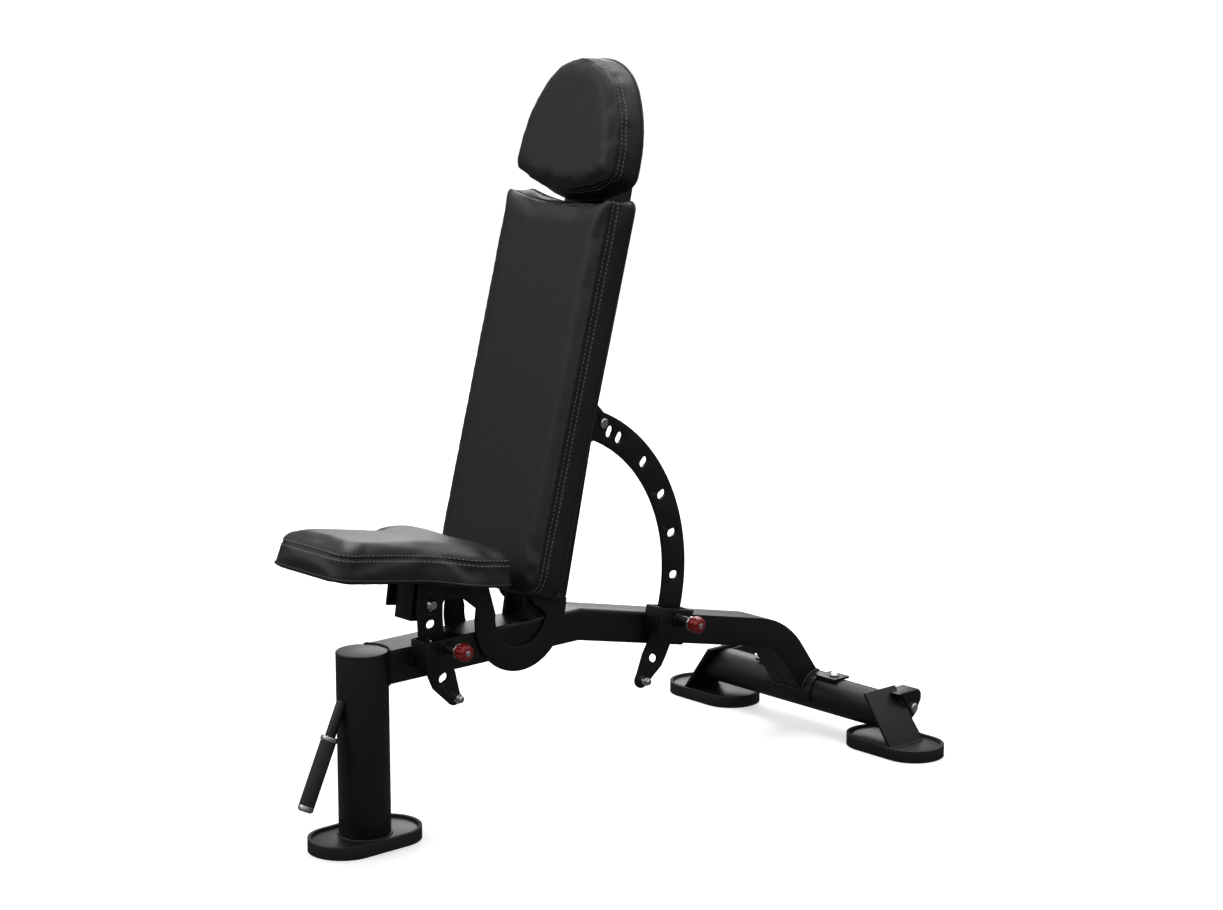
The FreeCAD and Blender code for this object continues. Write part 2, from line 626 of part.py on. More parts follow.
def sleeve_span(centre, slope, side, mid, wide):
    """Ends, along the beam, of the room that a sector sweeps between a sleeve's top and foot."""
    gap_y, gap_z = pivot[0] - centre[0], pivot[1] - centre[1]
    a0 = gap_y * cos(slope) - gap_z * sin(slope)
    h0 = gap_y * sin(slope) + gap_z * cos(slope)
    half = val("sleeve_high / 2")
    near, far = h0 - half, h0 + half
    outer = side * math.sqrt((mid + wide / 2) ** 2 - near ** 2)
    inner = side * math.sqrt((mid - wide / 2) ** 2 - far ** 2)
    ends = sorted((a0 + outer, a0 + inner))
    return ends[0] - val("sleeve_room"), ends[1] + val("sleeve_room")


def sleeve(name, slope, side, mid, wide, pin):
    """Box tube on the beam's right side, round the path of a sector, with the pin's hole."""
    pin_y, pin_z = val(pin[1]), val(pin[2])
    behind = (pin_y - bend[0]) / cos(slope) if slope else pin_y - bend[0]
    if slope:
        centre = along_beam(behind, val("sleeve_rise"))
    else:
        centre = (pin_y, beam_mid + val("sleeve_rise"))
    low, high = sleeve_span(centre, slope, side, mid, wide)
    half = val("sleeve_high / 2")
    wall = val("sleeve_wall")
    outer = padded(name, "XY_Plane", "sleeve_high", [loop([
        (0, low - wall), (val("sleeve_out") - 4, low - wall),
        ((val("sleeve_out") - 1.2, low - wall + 1.2), (val("sleeve_out"), low - wall + 4)),
        (val("sleeve_out"), high + wall - 4),
        ((val("sleeve_out") - 1.2, high + wall - 1.2), (val("sleeve_out") - 4, high + wall)),
        (0, high + wall)]),
        loop([(3, low), (val("sleeve_out - sleeve_wall"), low),
              (val("sleeve_out - sleeve_wall"), high), (3, high)])])
    lift = (centre[0] - half * sin(slope), centre[1] - half * cos(slope))
    put(outer, ("beam_wide / 2", str(lift[0]), str(lift[1])), (1, 0, 0), str(-slope))
    hole = rod("pin_wide / 2 + run_fit", "sleeve_out", ("beam_wide / 2",) + pin[1:])
    keep(name, cut(outer, hole))


back_pin = pin_place("sector_mid", "back_pin_angle", 1)
seat_pin = pin_place("seat_sector_mid", "seat_pin_angle", -1)
sleeve("back_sleeve", drop, 1, val("sector_mid"), val("sector_wide"), back_pin)
sleeve("seat_sleeve", 0, -1, val("seat_sector_mid"), val("seat_sector_wide"), seat_pin)

sleeve_face = "(beam_wide / 2 + sleeve_out)"
barrel = val("barrel_long")
pin_r = val("pin_wide / 2")
pin_bore = pin_r + val("run_fit")
spring_bore = pin_r + val("spring_room")
springs = []
for name, place, sector_face in (("seat", seat_pin, plate_x + " + seat_plate + sector_thick"),
                                 ("back", back_pin, flange_out + " + sector_thick")):
    at = (sleeve_face,) + place[1:]
    keep(name + "_pin_barrel", turned(name + "_barrel", [
        (pin_bore, barrel - 4), (pin_bore, barrel), (val("barrel_wide / 2") - 1, barrel),
        (val("barrel_wide / 2"), barrel - 1), (val("barrel_wide / 2"), 0), (spring_bore, 0),
        (spring_bore, barrel - 4)], at))
    nose = val(sector_face + "+ pin_clear") - val(sleeve_face)
    knob_face = barrel + 0.6
    knob_end = knob_face + val("knob_long")
    keep(name + "_pin", turned(name + "_plunger", [
        (0, nose), (pin_r - 1.5, nose), (pin_r, nose + 1.5), (pin_r, 14), (spring_bore - 0.4, 14),
        (spring_bore - 0.4, 17), (pin_r, 17), (pin_r, knob_end - 8), (0, knob_end - 8)], at))
    skirt = val("barrel_wide / 2") + 0.5
    knob = val("knob_wide / 2")
    keep(name + "_pin_knob", turned(name + "_knob", [
        (skirt, knob_face), (knob - 4, knob_face), (knob, knob_face + 5), (knob, knob_end - 7),
        (knob - 5, knob_end - 1.5), (knob - 10, knob_end), (0, knob_end), (0, knob_end - 8),
        (pin_r, knob_end - 8), (pin_r, knob_face + val("pin_throw") + 1.5),
        (skirt, knob_face + val("pin_throw") + 1.5)], at))
    inside, outside = pin_r + 0.4, spring_bore - 0.6
    springs.append(turned(name + "_spring", [
        (inside, 17.2), (outside, 17.2), (outside, barrel - 4.2), (inside, barrel - 4.2)], at))
keep("pin_springs", group(*springs))

# ---------------------------------------------------------------- seat, in its own tilted frame


def below(radius, angle):
    """(Y, Z) from the pivot, ahead of it, this many degrees below its level in the seat's frame."""
    return (-radius * cos(angle), -radius * sin(angle))


rest_angle = val("seat_pin_angle + seat_tilt")
under_board = val("seat_under")
plate_top_z = under_board - val("cross_thick")
hook = (val("hook_y"), val("hook_z"))
hook_out, hook_in = val("hook_out"), val("hook_in")
bar_low = plate_top_z - 31
strut_front = val("seat_box_y")
bolt_at = below(val("seat_sector_mid"), rest_angle - val("seat_drop") - 7.6)
boss = 30.0
side_plate = loop([
    (strut_front - 4, plate_top_z), (strut_front - 4, bar_low - 26), (strut_front + 40, bar_low - 26),
    (strut_front + 52, bar_low), (hook[0] - hook_out - 32, bar_low), (hook[0] - hook_out, bar_low - 18),
    (hook[0] - hook_out, hook[1]), ((hook[0], hook[1] - hook_out), (hook[0] + hook_out, hook[1])),
    (hook[0] + hook_out, hook[1] + 26), (boss * cos(40), boss * sin(40)),
    ((boss * cos(135), boss * sin(135)), (boss * cos(250), boss * sin(250))),
    (hook[0] + hook_in, hook[1]), ((hook[0], hook[1] - hook_in), (hook[0] - hook_in, hook[1])),
    (hook[0] - hook_in - 28, plate_top_z)])
shaft_hole = circle(0, 0, val("pivot_shaft / 2 + run_fit"))
bolt_hole = circle(*bolt_at, 6.0)
for where, low_x in (("right", plate_x), ("left", "-" + plate_x + " - seat_plate")):
    keep("seat_side_plate_" + where, padded("seat_side_" + where, "YZ_Plane", "seat_plate",
                                            [side_plate, shaft_hole, bolt_hole], (low_x, "0", "0")), "seat")

strut = cut(
    box("seat_box_wide", "seat_box_deep", str(plate_top_z + 54), ("-seat_box_wide / 2", "seat_box_y", "-54")),
    box("seat_box_wide - 6", "seat_box_deep - 6", "200", ("3 - seat_box_wide / 2", "seat_box_y + 3", "-51")),
    rod("6", "seat_box_wide", ("-seat_box_wide / 2", str(bolt_at[0]), str(bolt_at[1]))))
keep("seat_strut", strut, "seat")


def sector_outline(mid, wide, start, taper, stop, end_r, point):
    """Ring between two angles, drawn in to a round end about the stop bolt."""
    inner, outer = mid - wide / 2, mid + wide / 2
    half = (start + taper) / 2
    tip = point(mid, stop)
    out_tip, in_tip = point(mid + end_r, stop), point(mid - end_r, stop)
    beyond = point(mid, stop + math.degrees(end_r / mid))
    return tip, loop([point(inner, start), point(outer, start), (point(outer, half), point(outer, taper)),
                      out_tip, (beyond, in_tip), point(inner, taper), (point(inner, half), point(inner, start))])


seat_mid, seat_wide = val("seat_sector_mid"), val("seat_sector_wide")
top_angle = -math.degrees(math.asin(plate_top_z / (seat_mid + seat_wide / 2)))
seat_stop = rest_angle + val("seat_rise") + 10.2
stop_at, outline = sector_outline(seat_mid, seat_wide, top_angle, seat_stop - 9, seat_stop, 14.0, below)
notches = [slot(*below(seat_mid, angle), 20.0, 14.0, angle)
           for angle in (rest_angle - val("seat_drop"), rest_angle, rest_angle + val("seat_rise"))]
seat_sector_x = plate_x + " + seat_plate"
keep("seat_sector", padded("seat_sector", "YZ_Plane", "sector_thick",
                           [outline, bolt_hole, circle(*stop_at, 5.0)] + notches,
                           (seat_sector_x, "0", "0")), "seat")
head_x = val(seat_sector_x + " + sector_thick")
tail_x = val(plate_x + " + seat_plate")
keep("seat_sector_bolt", turned("seat_sector_bolt", [
    (0, -tail_x - 8), (10, -tail_x - 8), (10, -tail_x), (6, -tail_x), (6, head_x), (11, head_x),
    (11, head_x + 3), (7, head_x + 7), (0, head_x + 7)], ("0", str(bolt_at[0]), str(bolt_at[1]))), "seat")


def stop_bolt(name, at, face, frame):
    """Bolt through a sector's lower end, with a roller on its outer side and a nut inside."""
    keep(name, turned(name, [
        (0, face - 12), (7, face - 12), (7, face - val("sector_thick")), (5, face - val("sector_thick")),
        (5, face), (8, face), (8, face + 13), (6, face + 13), (6, face + 18), (4, face + 20), (0, face + 20)],
        ("0", str(at[0]), str(at[1]))), frame)


stop_bolt("seat_stop_bolt", stop_at, head_x, "seat")


def seat_outline(inset):
    """Seat plan: a narrow nose that flares to a wider rear."""
    nose, rear = val("seat_front_wide / 2") - inset, val("seat_back_wide / 2") - inset
    front, back = val("seat_front") + inset, val("seat_back") - inset
    flare = back - 78
    r = 34 - inset / 2

    def half(s):
        return [(s * nose, front + r), (s * nose, flare - 108), (s * rear, flare + 22), (s * rear, back - r)]

    right, left = half(1), half(-1)
    mid_x, mid_y = (nose + rear) / 2, flare - 43
    k = 0.29 * r
    return loop([
        (nose - r, front), ((nose - k, front + k), right[0]), right[1],
        ((nose + 4, flare - 72), (mid_x, mid_y)), ((rear - 4, flare - 14), right[2]), right[3],
        ((rear - k, back - k), (rear - r, back)), (r - rear, back), ((k - rear, back - k), left[3]), left[2],
        ((4 - rear, flare - 14), (-mid_x, mid_y)), ((-nose - 4, flare - 72), left[1]), left[0],
        ((k - nose, front + k), (r - nose, front))])


def cushion(name, plane, outline, frame, at):
    """Board set into the underside of its cushion."""
    board = padded(name + "_board", plane, "board_thick", [outline(10.0)], at)
    well = padded(name + "_well", plane, "board_thick + pad_gap", [outline(10.0 - val("pad_gap"))], at)
    whole = padded(name + "_block", plane, "pad_thick", [outline(0.0)], at)
    if frame == "seat":
        whole = round_rim(whole, val("seat_round"), val("seat_under + pad_thick"))
    keep(name + "_board", board, frame)
    keep(name + "_pad", cut(whole, well), frame)


cushion("seat", "XY_Plane", seat_outline, "seat", ("0", "0", "seat_under"))
cross_half = "(" + plate_x + " + seat_plate)"
crosses = [box("2 * " + cross_half, "36", "cross_thick", ("-" + cross_half, y, "seat_under - cross_thick"))
           for y in ("seat_box_y + 3", "hook_y - hook_out - 22")]
keep("seat_cross_plates", group(*crosses), "seat")
screws = [turned("seat_screw", [(0, -3), (3, -3), (5.5, -0.5), (5.5, 0), (0, 0)],
                 ("%d * 32" % s, y, "seat_under - cross_thick"), "z")
          for s in (-1, 1) for y in ("seat_box_y + 21", "hook_y - hook_out - 4")]
keep("seat_screws", group(*screws), "seat")

# ---------------------------------------------------------------- backrest, in its own leaning frame

channel_top = val("channel_top")
low, high = val("flange_low"), val("flange_high")
front = -val("web_front")


def rear_edge(z):
    """Y of the flanges' rear edge, this far above the pivot."""
    return low + (high - low) * z / channel_top


def behind_up(radius, angle):
    """(Y, Z) from the pivot, this many degrees behind the backrest's own upright."""
    return (radius * sin(angle), radius * cos(angle))


mid = val("sector_mid")
back_rest_angle = 90 + val("back_pin_angle") - val("back_tilt")
lug = val("sector_mid")
lug_bolt = behind_up(mid + 8, 9.4)
flange = loop([(front, -14), (low - 10, -14), (low, -3), (rear_edge(lug - 32), lug - 32), (low + 9, lug - 20),
               (low + 9, lug + 20), (rear_edge(lug + 34), lug + 34), (rear_edge(channel_top), channel_top),
               (front, channel_top)])
whole = padded("channel", "YZ_Plane", "2 * " + flange_out, [flange, shaft_hole, circle(*lug_bolt, 5.0)],
               ("-" + flange_out, "0", "0"))
hollow = box("2 * " + flange_x, "400", "2000", ("-" + flange_x, str(front + val("flange_thick")), "-400"))
keep("back_channel", cut(whole, hollow), "back")

back_stop = back_rest_angle + val("back_step") + 8.6
stop_at, outline = sector_outline(mid, val("sector_wide"), 4.0, back_stop - 8, back_stop, 15.0, behind_up)
steps = [back_rest_angle - k * val("back_step") for k in range(-1, 6)]
steps.append(steps[-1] - 5.0)
holes = [slot(*behind_up(mid, angle), val("sector_slot"), val("sector_hole"), 90 - angle) for angle in steps]
keep("back_sector", padded("back_sector", "YZ_Plane", "sector_thick",
                           [outline, circle(*lug_bolt, 5.0), circle(*stop_at, 5.0)] + holes,
                           (flange_out, "0", "0")), "back")
face = val(flange_out + " + sector_thick")
keep("back_sector_bolt", turned("back_sector_bolt", [
    (0, val(flange_x) - 3.5), (8, val(flange_x) - 3.5), (8, val(flange_x)), (5, val(flange_x)),
    (5, face), (9, face), (9, face + 5), (7, face + 6.5), (0, face + 6.5)], ("0", str(lug_bolt[0]), str(lug_bolt[1]))), "back")
stop_bolt("back_stop_bolt", stop_at, face, "back")


def back_outline(inset):
    """Back pad: straight sides, round lower corners, a hollow top edge."""
    side = val("back_pad_wide / 2") - inset
    foot, top = val("back_pad_low") + inset, val("back_pad_high") - inset
    r, t = 34 - inset / 2, 16 - inset / 2
    k, j = 0.29 * r, 0.29 * t
    return loop([
        (r - side, foot), (side - r, foot), ((side - k, foot + k), (side, foot + r)), (side, top - t),
        ((side - j, top - j), (side - t, top)), ((0, top - val("back_pad_dip")), (t - side, top)),
        ((j - side, top - j), (-side, top - t)), (-side, foot + r), ((k - side, foot + k), (r - side, foot))])


def head_outline(inset):
    """Head pad: a bullet shape whose foot follows the back pad's hollow top edge."""
    side = val("head_pad_wide / 2") - inset
    foot = val("back_pad_high + head_gap") + inset
    top = val("head_pad_high") - inset
    dip = val("back_pad_dip") + 2
    shoulder = top - 60
    return loop([
        (side - 26, foot + 6), ((side - 6, foot + 17), (side, foot + 42)),
        ((side - 9, foot + 112), (side - 34, shoulder)), ((0, top), (34 - side, shoulder)),
        ((9 - side, foot + 112), (-side, foot + 42)), ((6 - side, foot + 17), (26 - side, foot + 6)),
        ((0, foot - dip), (side - 26, foot + 6))])


standing = ("0", "-web_front - cross_thick", "0")
cushion("back", "XZ_Plane", back_outline, "back", standing)
cushion("head", "XZ_Plane", head_outline, "back", standing)
keep("back_cross_plates", group(*[
    box("200", "cross_thick", "40", ("-100", "-web_front - cross_thick", z))
    for z in ("90", "540", "750")]), "back")
screws = [turned("back_screw", [(0, -3), (5.5, -3), (5.5, -2.5), (3, 0), (0, 0)],
                 ("%d * 84" % s, "-web_front + 3", z), "y", None)
          for s in (-1, 1) for z in ("110", "560", "770")]
keep("back_screws", group(*screws), "back")

# ---------------------------------------------------------------- checks and files

doc.recompute()
for thing in doc.Objects:
    if {"Invalid", "Error"} & set(thing.State):
        raise RuntimeError("%s failed: %s" % (thing.Label, thing.State))
for name, thing in NODES.items():
    if thing.Shape.isNull() or not thing.Shape.isValid() or not thing.Shape.Solids:
        raise RuntimeError(name + " has no valid solid")

os.makedirs("parts", exist_ok=True)
for name, thing in NODES.items():
    thing.Shape.exportStep("parts/%s.step" % name)
print(len(NODES), "sub-parts written")
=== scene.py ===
"""Adjustable weight bench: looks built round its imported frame."""
import json
import math

import bmesh
import bpy
from bpy.props import FloatProperty, FloatVectorProperty, IntProperty, PointerProperty
from mathutils import Matrix, Vector
from mathutils.bvhtree import BVHTree


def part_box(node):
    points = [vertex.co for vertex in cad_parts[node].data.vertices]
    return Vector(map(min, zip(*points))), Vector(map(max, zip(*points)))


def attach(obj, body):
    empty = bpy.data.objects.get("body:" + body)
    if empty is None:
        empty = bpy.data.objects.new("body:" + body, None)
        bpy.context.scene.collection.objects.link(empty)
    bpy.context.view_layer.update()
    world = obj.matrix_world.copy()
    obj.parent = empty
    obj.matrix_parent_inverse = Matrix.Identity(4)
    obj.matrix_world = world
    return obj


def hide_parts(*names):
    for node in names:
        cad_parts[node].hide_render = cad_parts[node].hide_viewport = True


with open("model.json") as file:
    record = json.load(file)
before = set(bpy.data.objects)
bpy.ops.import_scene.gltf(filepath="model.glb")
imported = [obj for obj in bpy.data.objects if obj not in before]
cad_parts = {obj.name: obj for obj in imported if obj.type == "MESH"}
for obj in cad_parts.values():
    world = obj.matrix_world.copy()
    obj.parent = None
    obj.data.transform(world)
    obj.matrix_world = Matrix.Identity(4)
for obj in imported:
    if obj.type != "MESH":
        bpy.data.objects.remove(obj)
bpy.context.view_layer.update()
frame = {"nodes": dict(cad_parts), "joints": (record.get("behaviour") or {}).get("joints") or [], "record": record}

bl_info = {
    "name": "Adjustable Weight Bench",
    "version": (1, 0, 0),
    "blender": (4, 5, 0),
    "location": "View3D > Sidebar > Bench",
    "description": "Cushions, fittings and finishes of an adjustable weight bench",
    "category": "Object",
}

JOINTS = {joint["name"]: joint for joint in frame["joints"]}
PIVOT = Vector(JOINTS["backrest_tilt"]["pos_m"])
SEAT_TILT = 9.0
BACK_TILT = 15.0
SEAT_FRAME = Matrix.Translation(PIVOT) @ Matrix.Rotation(math.radians(-SEAT_TILT), 4, "X")
BACK_FRAME = Matrix.Translation(PIVOT) @ Matrix.Rotation(math.radians(-BACK_TILT), 4, "X")
MM = 0.001


# ---------------------------------------------------------------- settings

class CushionSettings(bpy.types.PropertyGroup):
    """Sizes of the three cushions and their sewing"""
    voxel: FloatProperty(name="Mesh size", description="Size of the cushion mesh before smoothing",
                         default=5.5 * MM, unit="LENGTH")
    tuck: FloatProperty(name="Tuck", description="How far the cushion starts inside its final size",
                        default=5 * MM, unit="LENGTH")
    crown: FloatProperty(name="Crown", description="Height of the crown in the middle of a cushion",
                         default=5 * MM, unit="LENGTH")
    swell: FloatProperty(name="Swell", description="Farthest that the filling may push the cover",
                         default=6 * MM, unit="LENGTH")
    pressure: FloatProperty(name="Pressure", description="Pressure of the filling on the cover",
                            default=4.0)
    seam_depth: FloatProperty(name="Seam depth", description="Seam behind the cushion's face",
                              default=19 * MM, unit="LENGTH")
    row_gap: FloatProperty(name="Row gap", description="Between the two rows of stitches",
                           default=9 * MM, unit="LENGTH")
    stitch: FloatProperty(name="Stitch", description="Length of one stitch", default=5 * MM, unit="LENGTH")
    thread: FloatProperty(name="Thread", description="Thickness of the thread",
                          default=1.3 * MM, unit="LENGTH")
    welt: FloatProperty(name="Welt", description="Thickness of the welt round the back of a cushion",
                        default=5 * MM, unit="LENGTH")


class FittingSettings(bpy.types.PropertyGroup):
    """Sizes of the knobs, tubes, welds and cut steel edges"""
    knob_lobes: IntProperty(name="Knob lobes", description="Lobes round a pull knob", default=8)
    knob_flute: FloatProperty(name="Knob flute", description="Depth between the lobes of a pull knob",
                              default=1.6 * MM, unit="LENGTH")
    tube_corner: FloatProperty(name="Tube corner", description="Outside corner radius of the square tubes",
                               default=6 * MM, unit="LENGTH")
    bead: FloatProperty(name="Weld bead", description="Thickness of a weld bead",
                        default=5 * MM, unit="LENGTH")
    soft_edge: FloatProperty(name="Soft edge", description="Rounding of cut steel edges",
                             default=0.9 * MM, unit="LENGTH")


class FinishSettings(bpy.types.PropertyGroup):
    """Colours of the bench and of the stage"""
    paint: FloatVectorProperty(name="Paint", description="Powder coat on the steel",
                               default=(0.0105, 0.0105, 0.0115), subtype="COLOR")
    vinyl: FloatVectorProperty(name="Vinyl", description="Cover of the cushions",
                               default=(0.010, 0.010, 0.0105), subtype="COLOR")
    thread: FloatVectorProperty(name="Thread", description="Stitches on the cushions",
                                default=(0.30, 0.30, 0.31), subtype="COLOR")
    knob: FloatVectorProperty(name="Knob", description="Pull knobs", default=(0.30, 0.006, 0.009),
                              subtype="COLOR")
    floor: FloatVectorProperty(name="Floor", description="Plain floor", default=(0.86, 0.86, 0.86),
                               subtype="COLOR")


# ---------------------------------------------------------------- finishes

class Socket:
    """A shader value: sums and products on it add Math nodes."""

    def __init__(self, tree, output):
        self.tree = tree
        self.output = output

    def maths(self, operation, first, second):
        node = self.tree.nodes.new("ShaderNodeMath")
        node.operation = operation
        for slot, value in zip(node.inputs, (first, second)):
            if isinstance(value, Socket):
                self.tree.links.new(value.output, slot)
            else:
                slot.default_value = value
        return Socket(self.tree, node.outputs[0])

    def __add__(self, other):
        return self.maths("ADD", self, other)

    def __radd__(self, other):
        return self.maths("ADD", other, self)

    def __sub__(self, other):
        return self.maths("SUBTRACT", self, other)

    def __rsub__(self, other):
        return self.maths("SUBTRACT", other, self)

    def __mul__(self, other):
        return self.maths("MULTIPLY", self, other)

    def __rmul__(self, other):
        return self.maths("MULTIPLY", other, self)


class Finish:
    """One material and the nodes behind its shader."""

    def __init__(self, name, **fixed):
        self.material = bpy.data.materials.new(name)
        self.material.use_nodes = True
        self.tree = self.material.node_tree
        self.shader = self.tree.nodes["Principled BSDF"]
        for key, value in fixed.items():
            self.shader.inputs[key.replace("_", " ")].default_value = value
        self.place = self.node("TexCoord", output="Object")

    def node(self, kind, settings=None, inputs=None, output=0):
        """Add a node, set it up, then feed its sockets."""
        made = self.tree.nodes.new("ShaderNode" + kind)
        for key, value in (settings or {}).items():
            if key == "stops":
                self.stops(made.color_ramp, value)
            else:
                setattr(made, key, value)
        for key, value in (inputs or {}).items():
            self.feed(made.inputs[key], value)
        return Socket(self.tree, made.outputs[output])

    def stops(self, ramp, stops):
        while len(ramp.elements) < len(stops):
            ramp.elements.new(1.0)
        for element, (place, shade) in zip(ramp.elements, stops):
            element.position = place
            element.color = (shade, shade, shade, 1.0)

    def feed(self, slot, value):
        if isinstance(value, Socket):
            self.tree.links.new(value.output, slot)
        else:
            slot.default_value = value

    def noise(self, scale, detail=2.0, rough=0.5, place=None):
        return self.node("TexNoise", inputs={"Vector": place or self.place, "Scale": scale,
                                             "Detail": detail, "Roughness": rough})

    def ramp(self, value, *stops):
        return self.node("ValToRGB", {"stops": stops}, {"Fac": value})

    def blend(self, factor, first, second):
        colours = {0: factor, 6: (*first, 1.0), 7: (*second, 1.0)}
        return self.node("Mix", {"data_type": "RGBA"}, colours, 2)

    def colour(self, value):
        self.feed(self.shader.inputs["Base Color"], value)

    def rough(self, value):
        self.feed(self.shader.inputs["Roughness"], value)

    def bump(self, height, distance, strength=1.0):
        made = self.node("Bump", inputs={"Height": height, "Distance": distance, "Strength": strength},
                         output="Normal")
        self.feed(self.shader.inputs["Normal"], made)


def shade(colour, factor):
    return tuple(part * factor for part in colour)


def powder_coat(name, colour, roughness=0.42):
    """Baked paint with a fine, pebbled skin and faint drifts in its gloss."""
    finish = Finish(name, Specular_IOR_Level=0.42)
    drift = finish.noise(9.0, 3.0)
    pebble = finish.noise(700.0, 2.0)
    dust = finish.ramp(finish.noise(60.0, 5.0, 0.7), (0.55, 0.0), (0.8, 1.0))
    finish.colour(finish.blend(drift * 0.6 + dust * 0.25, shade(colour, 0.7), shade(colour, 1.3)))
    finish.rough(roughness + (drift - 0.5) * 0.12 + (pebble - 0.5) * 0.12)
    finish.bump(pebble, 0.25 * MM, 0.5)
    return finish.material


def vinyl(name, colour):
    """Soft coated fabric with a small leather grain and handling sheen."""
    finish = Finish(name, Specular_IOR_Level=0.5)
    cells = finish.node("TexVoronoi", {"feature": "DISTANCE_TO_EDGE"},
                        {"Vector": finish.place, "Scale": 420.0})
    grain = finish.ramp(cells, (0.0, 0.0), (0.16, 1.0))
    pores = finish.noise(900.0, 2.0)
    drift = finish.noise(7.0, 3.0)
    crease = finish.noise(38.0, 4.0, 0.6)
    finish.colour(finish.blend(drift, shade(colour, 0.8), shade(colour, 1.45)))
    finish.rough(0.40 + (1.0 - grain) * 0.12 + (drift - 0.5) * 0.14 + (pores - 0.5) * 0.08)
    finish.bump(grain * 0.55 + pores * 0.25 + crease * 0.9, 0.35 * MM, 0.55)
    return finish.material


def moulded_rubber(name, colour, roughness=0.72, speck=260.0):
    """Dull moulded rubber with a stippled skin and a bloom of dust."""
    finish = Finish(name, Specular_IOR_Level=0.35)
    stipple = finish.noise(speck, 3.0)
    bloom = finish.noise(16.0, 4.0, 0.6)
    finish.colour(finish.blend(bloom, shade(colour, 0.75), shade(colour, 1.5)))
    finish.rough(roughness + (stipple - 0.5) * 0.2)
    finish.bump(stipple, 0.3 * MM, 0.6)
    return finish.material


def knurled_rubber(name, colour, along):
    """Grip rubber: a cross-hatched tread that runs round its axis."""
    finish = Finish(name, Specular_IOR_Level=0.4)
    turned = finish.node("Mapping", {}, {"Vector": finish.place, "Rotation": along})
    parts = finish.node("SeparateXYZ", {}, {"Vector": turned})
    split = parts.output.node
    height = Socket(finish.tree, split.outputs[2])
    first, second = (Socket(finish.tree, split.outputs[place]) for place in (0, 1))
    angle = finish.node("Math", {"operation": "ARCTAN2"}, {0: first, 1: second})
    rows = height * 1300.0
    left = finish.node("Math", {"operation": "SINE"}, {0: rows + angle * 16.0})
    right = finish.node("Math", {"operation": "SINE"}, {0: rows - angle * 16.0})
    tread = left * right
    wear = finish.noise(40.0, 4.0, 0.6)
    finish.colour(finish.blend(tread * 0.4 + wear * 0.6, shade(colour, 0.6), shade(colour, 1.5)))
    finish.rough(0.66 + (wear - 0.5) * 0.2)
    finish.bump(tread, 0.5 * MM, 0.7)
    return finish.material


def bright_metal(name, colour, roughness, streak=(1.0, 1.0, 1.0), grain=180.0):
    """Bare or plated metal with faint streaks and smudges in its polish."""
    finish = Finish(name, Metallic=1.0)
    drawn = finish.node("Mapping", {}, {"Vector": finish.place, "Scale": streak})
    lines = finish.noise(grain, 3.0, 0.6, drawn)
    smudge = finish.noise(30.0, 4.0, 0.6)
    finish.colour(finish.blend(smudge, shade(colour, 0.86), colour))
    finish.rough(roughness + (lines - 0.5) * roughness * 0.8 + (smudge - 0.5) * 0.06)
    finish.bump(lines, 0.04 * MM, 0.3)
    return finish.material


def gloss_plastic(name, colour):
    """Moulded glossy plastic with handling marks."""
    finish = Finish(name, Coat_Roughness=0.12, Coat_Weight=0.35)
    marks = finish.noise(140.0, 4.0, 0.65)
    drift = finish.noise(45.0, 2.0)
    finish.colour(finish.blend(drift, shade(colour, 0.8), shade(colour, 1.15)))
    finish.rough(0.30 + (marks - 0.5) * 0.18)
    finish.bump(marks, 0.08 * MM, 0.3)
    return finish.material


def plywood(name):
    """Stained plywood board: long grain on its faces."""
    finish = Finish(name, Specular_IOR_Level=0.25)
    drawn = finish.node("Mapping", {}, {"Vector": finish.place, "Scale": (16.0, 1.6, 1.6)})
    grain = finish.noise(9.0, 6.0, 0.65, drawn)
    pores = finish.noise(240.0, 3.0, 0.5, drawn)
    finish.colour(finish.blend(grain * 0.8 + pores * 0.2, (0.012, 0.011, 0.010), (0.034, 0.030, 0.027)))
    finish.rough(0.68 + (pores - 0.5) * 0.2)
    finish.bump(grain * 0.5 + pores * 0.5, 0.3 * MM, 0.4)
    return finish.material


def thread(name, colour):
    """Twisted sewing thread."""
    finish = Finish(name, Specular_IOR_Level=0.3)
    ply = finish.noise(1500.0, 2.0)
    finish.colour(finish.blend(ply, shade(colour, 0.7), shade(colour, 1.2)))
    finish.rough(0.7 + (ply - 0.5) * 0.2)
    finish.bump(ply, 0.2 * MM, 0.5)
    return finish.material


def pale_floor(name, colour):
    finish = Finish(name, Specular_IOR_Level=0.2, Emission_Color=(1, 1, 1, 1), Emission_Strength=0.45)
    mist = finish.noise(2.0, 3.0)
    finish.colour(finish.blend(mist, shade(colour, 0.985), colour))
    finish.rough(0.75 + (mist - 0.5) * 0.1)
    return finish.material


MATERIALS = {}
GRIP_TURN = (math.radians(25.0), 0.0, 0.0)


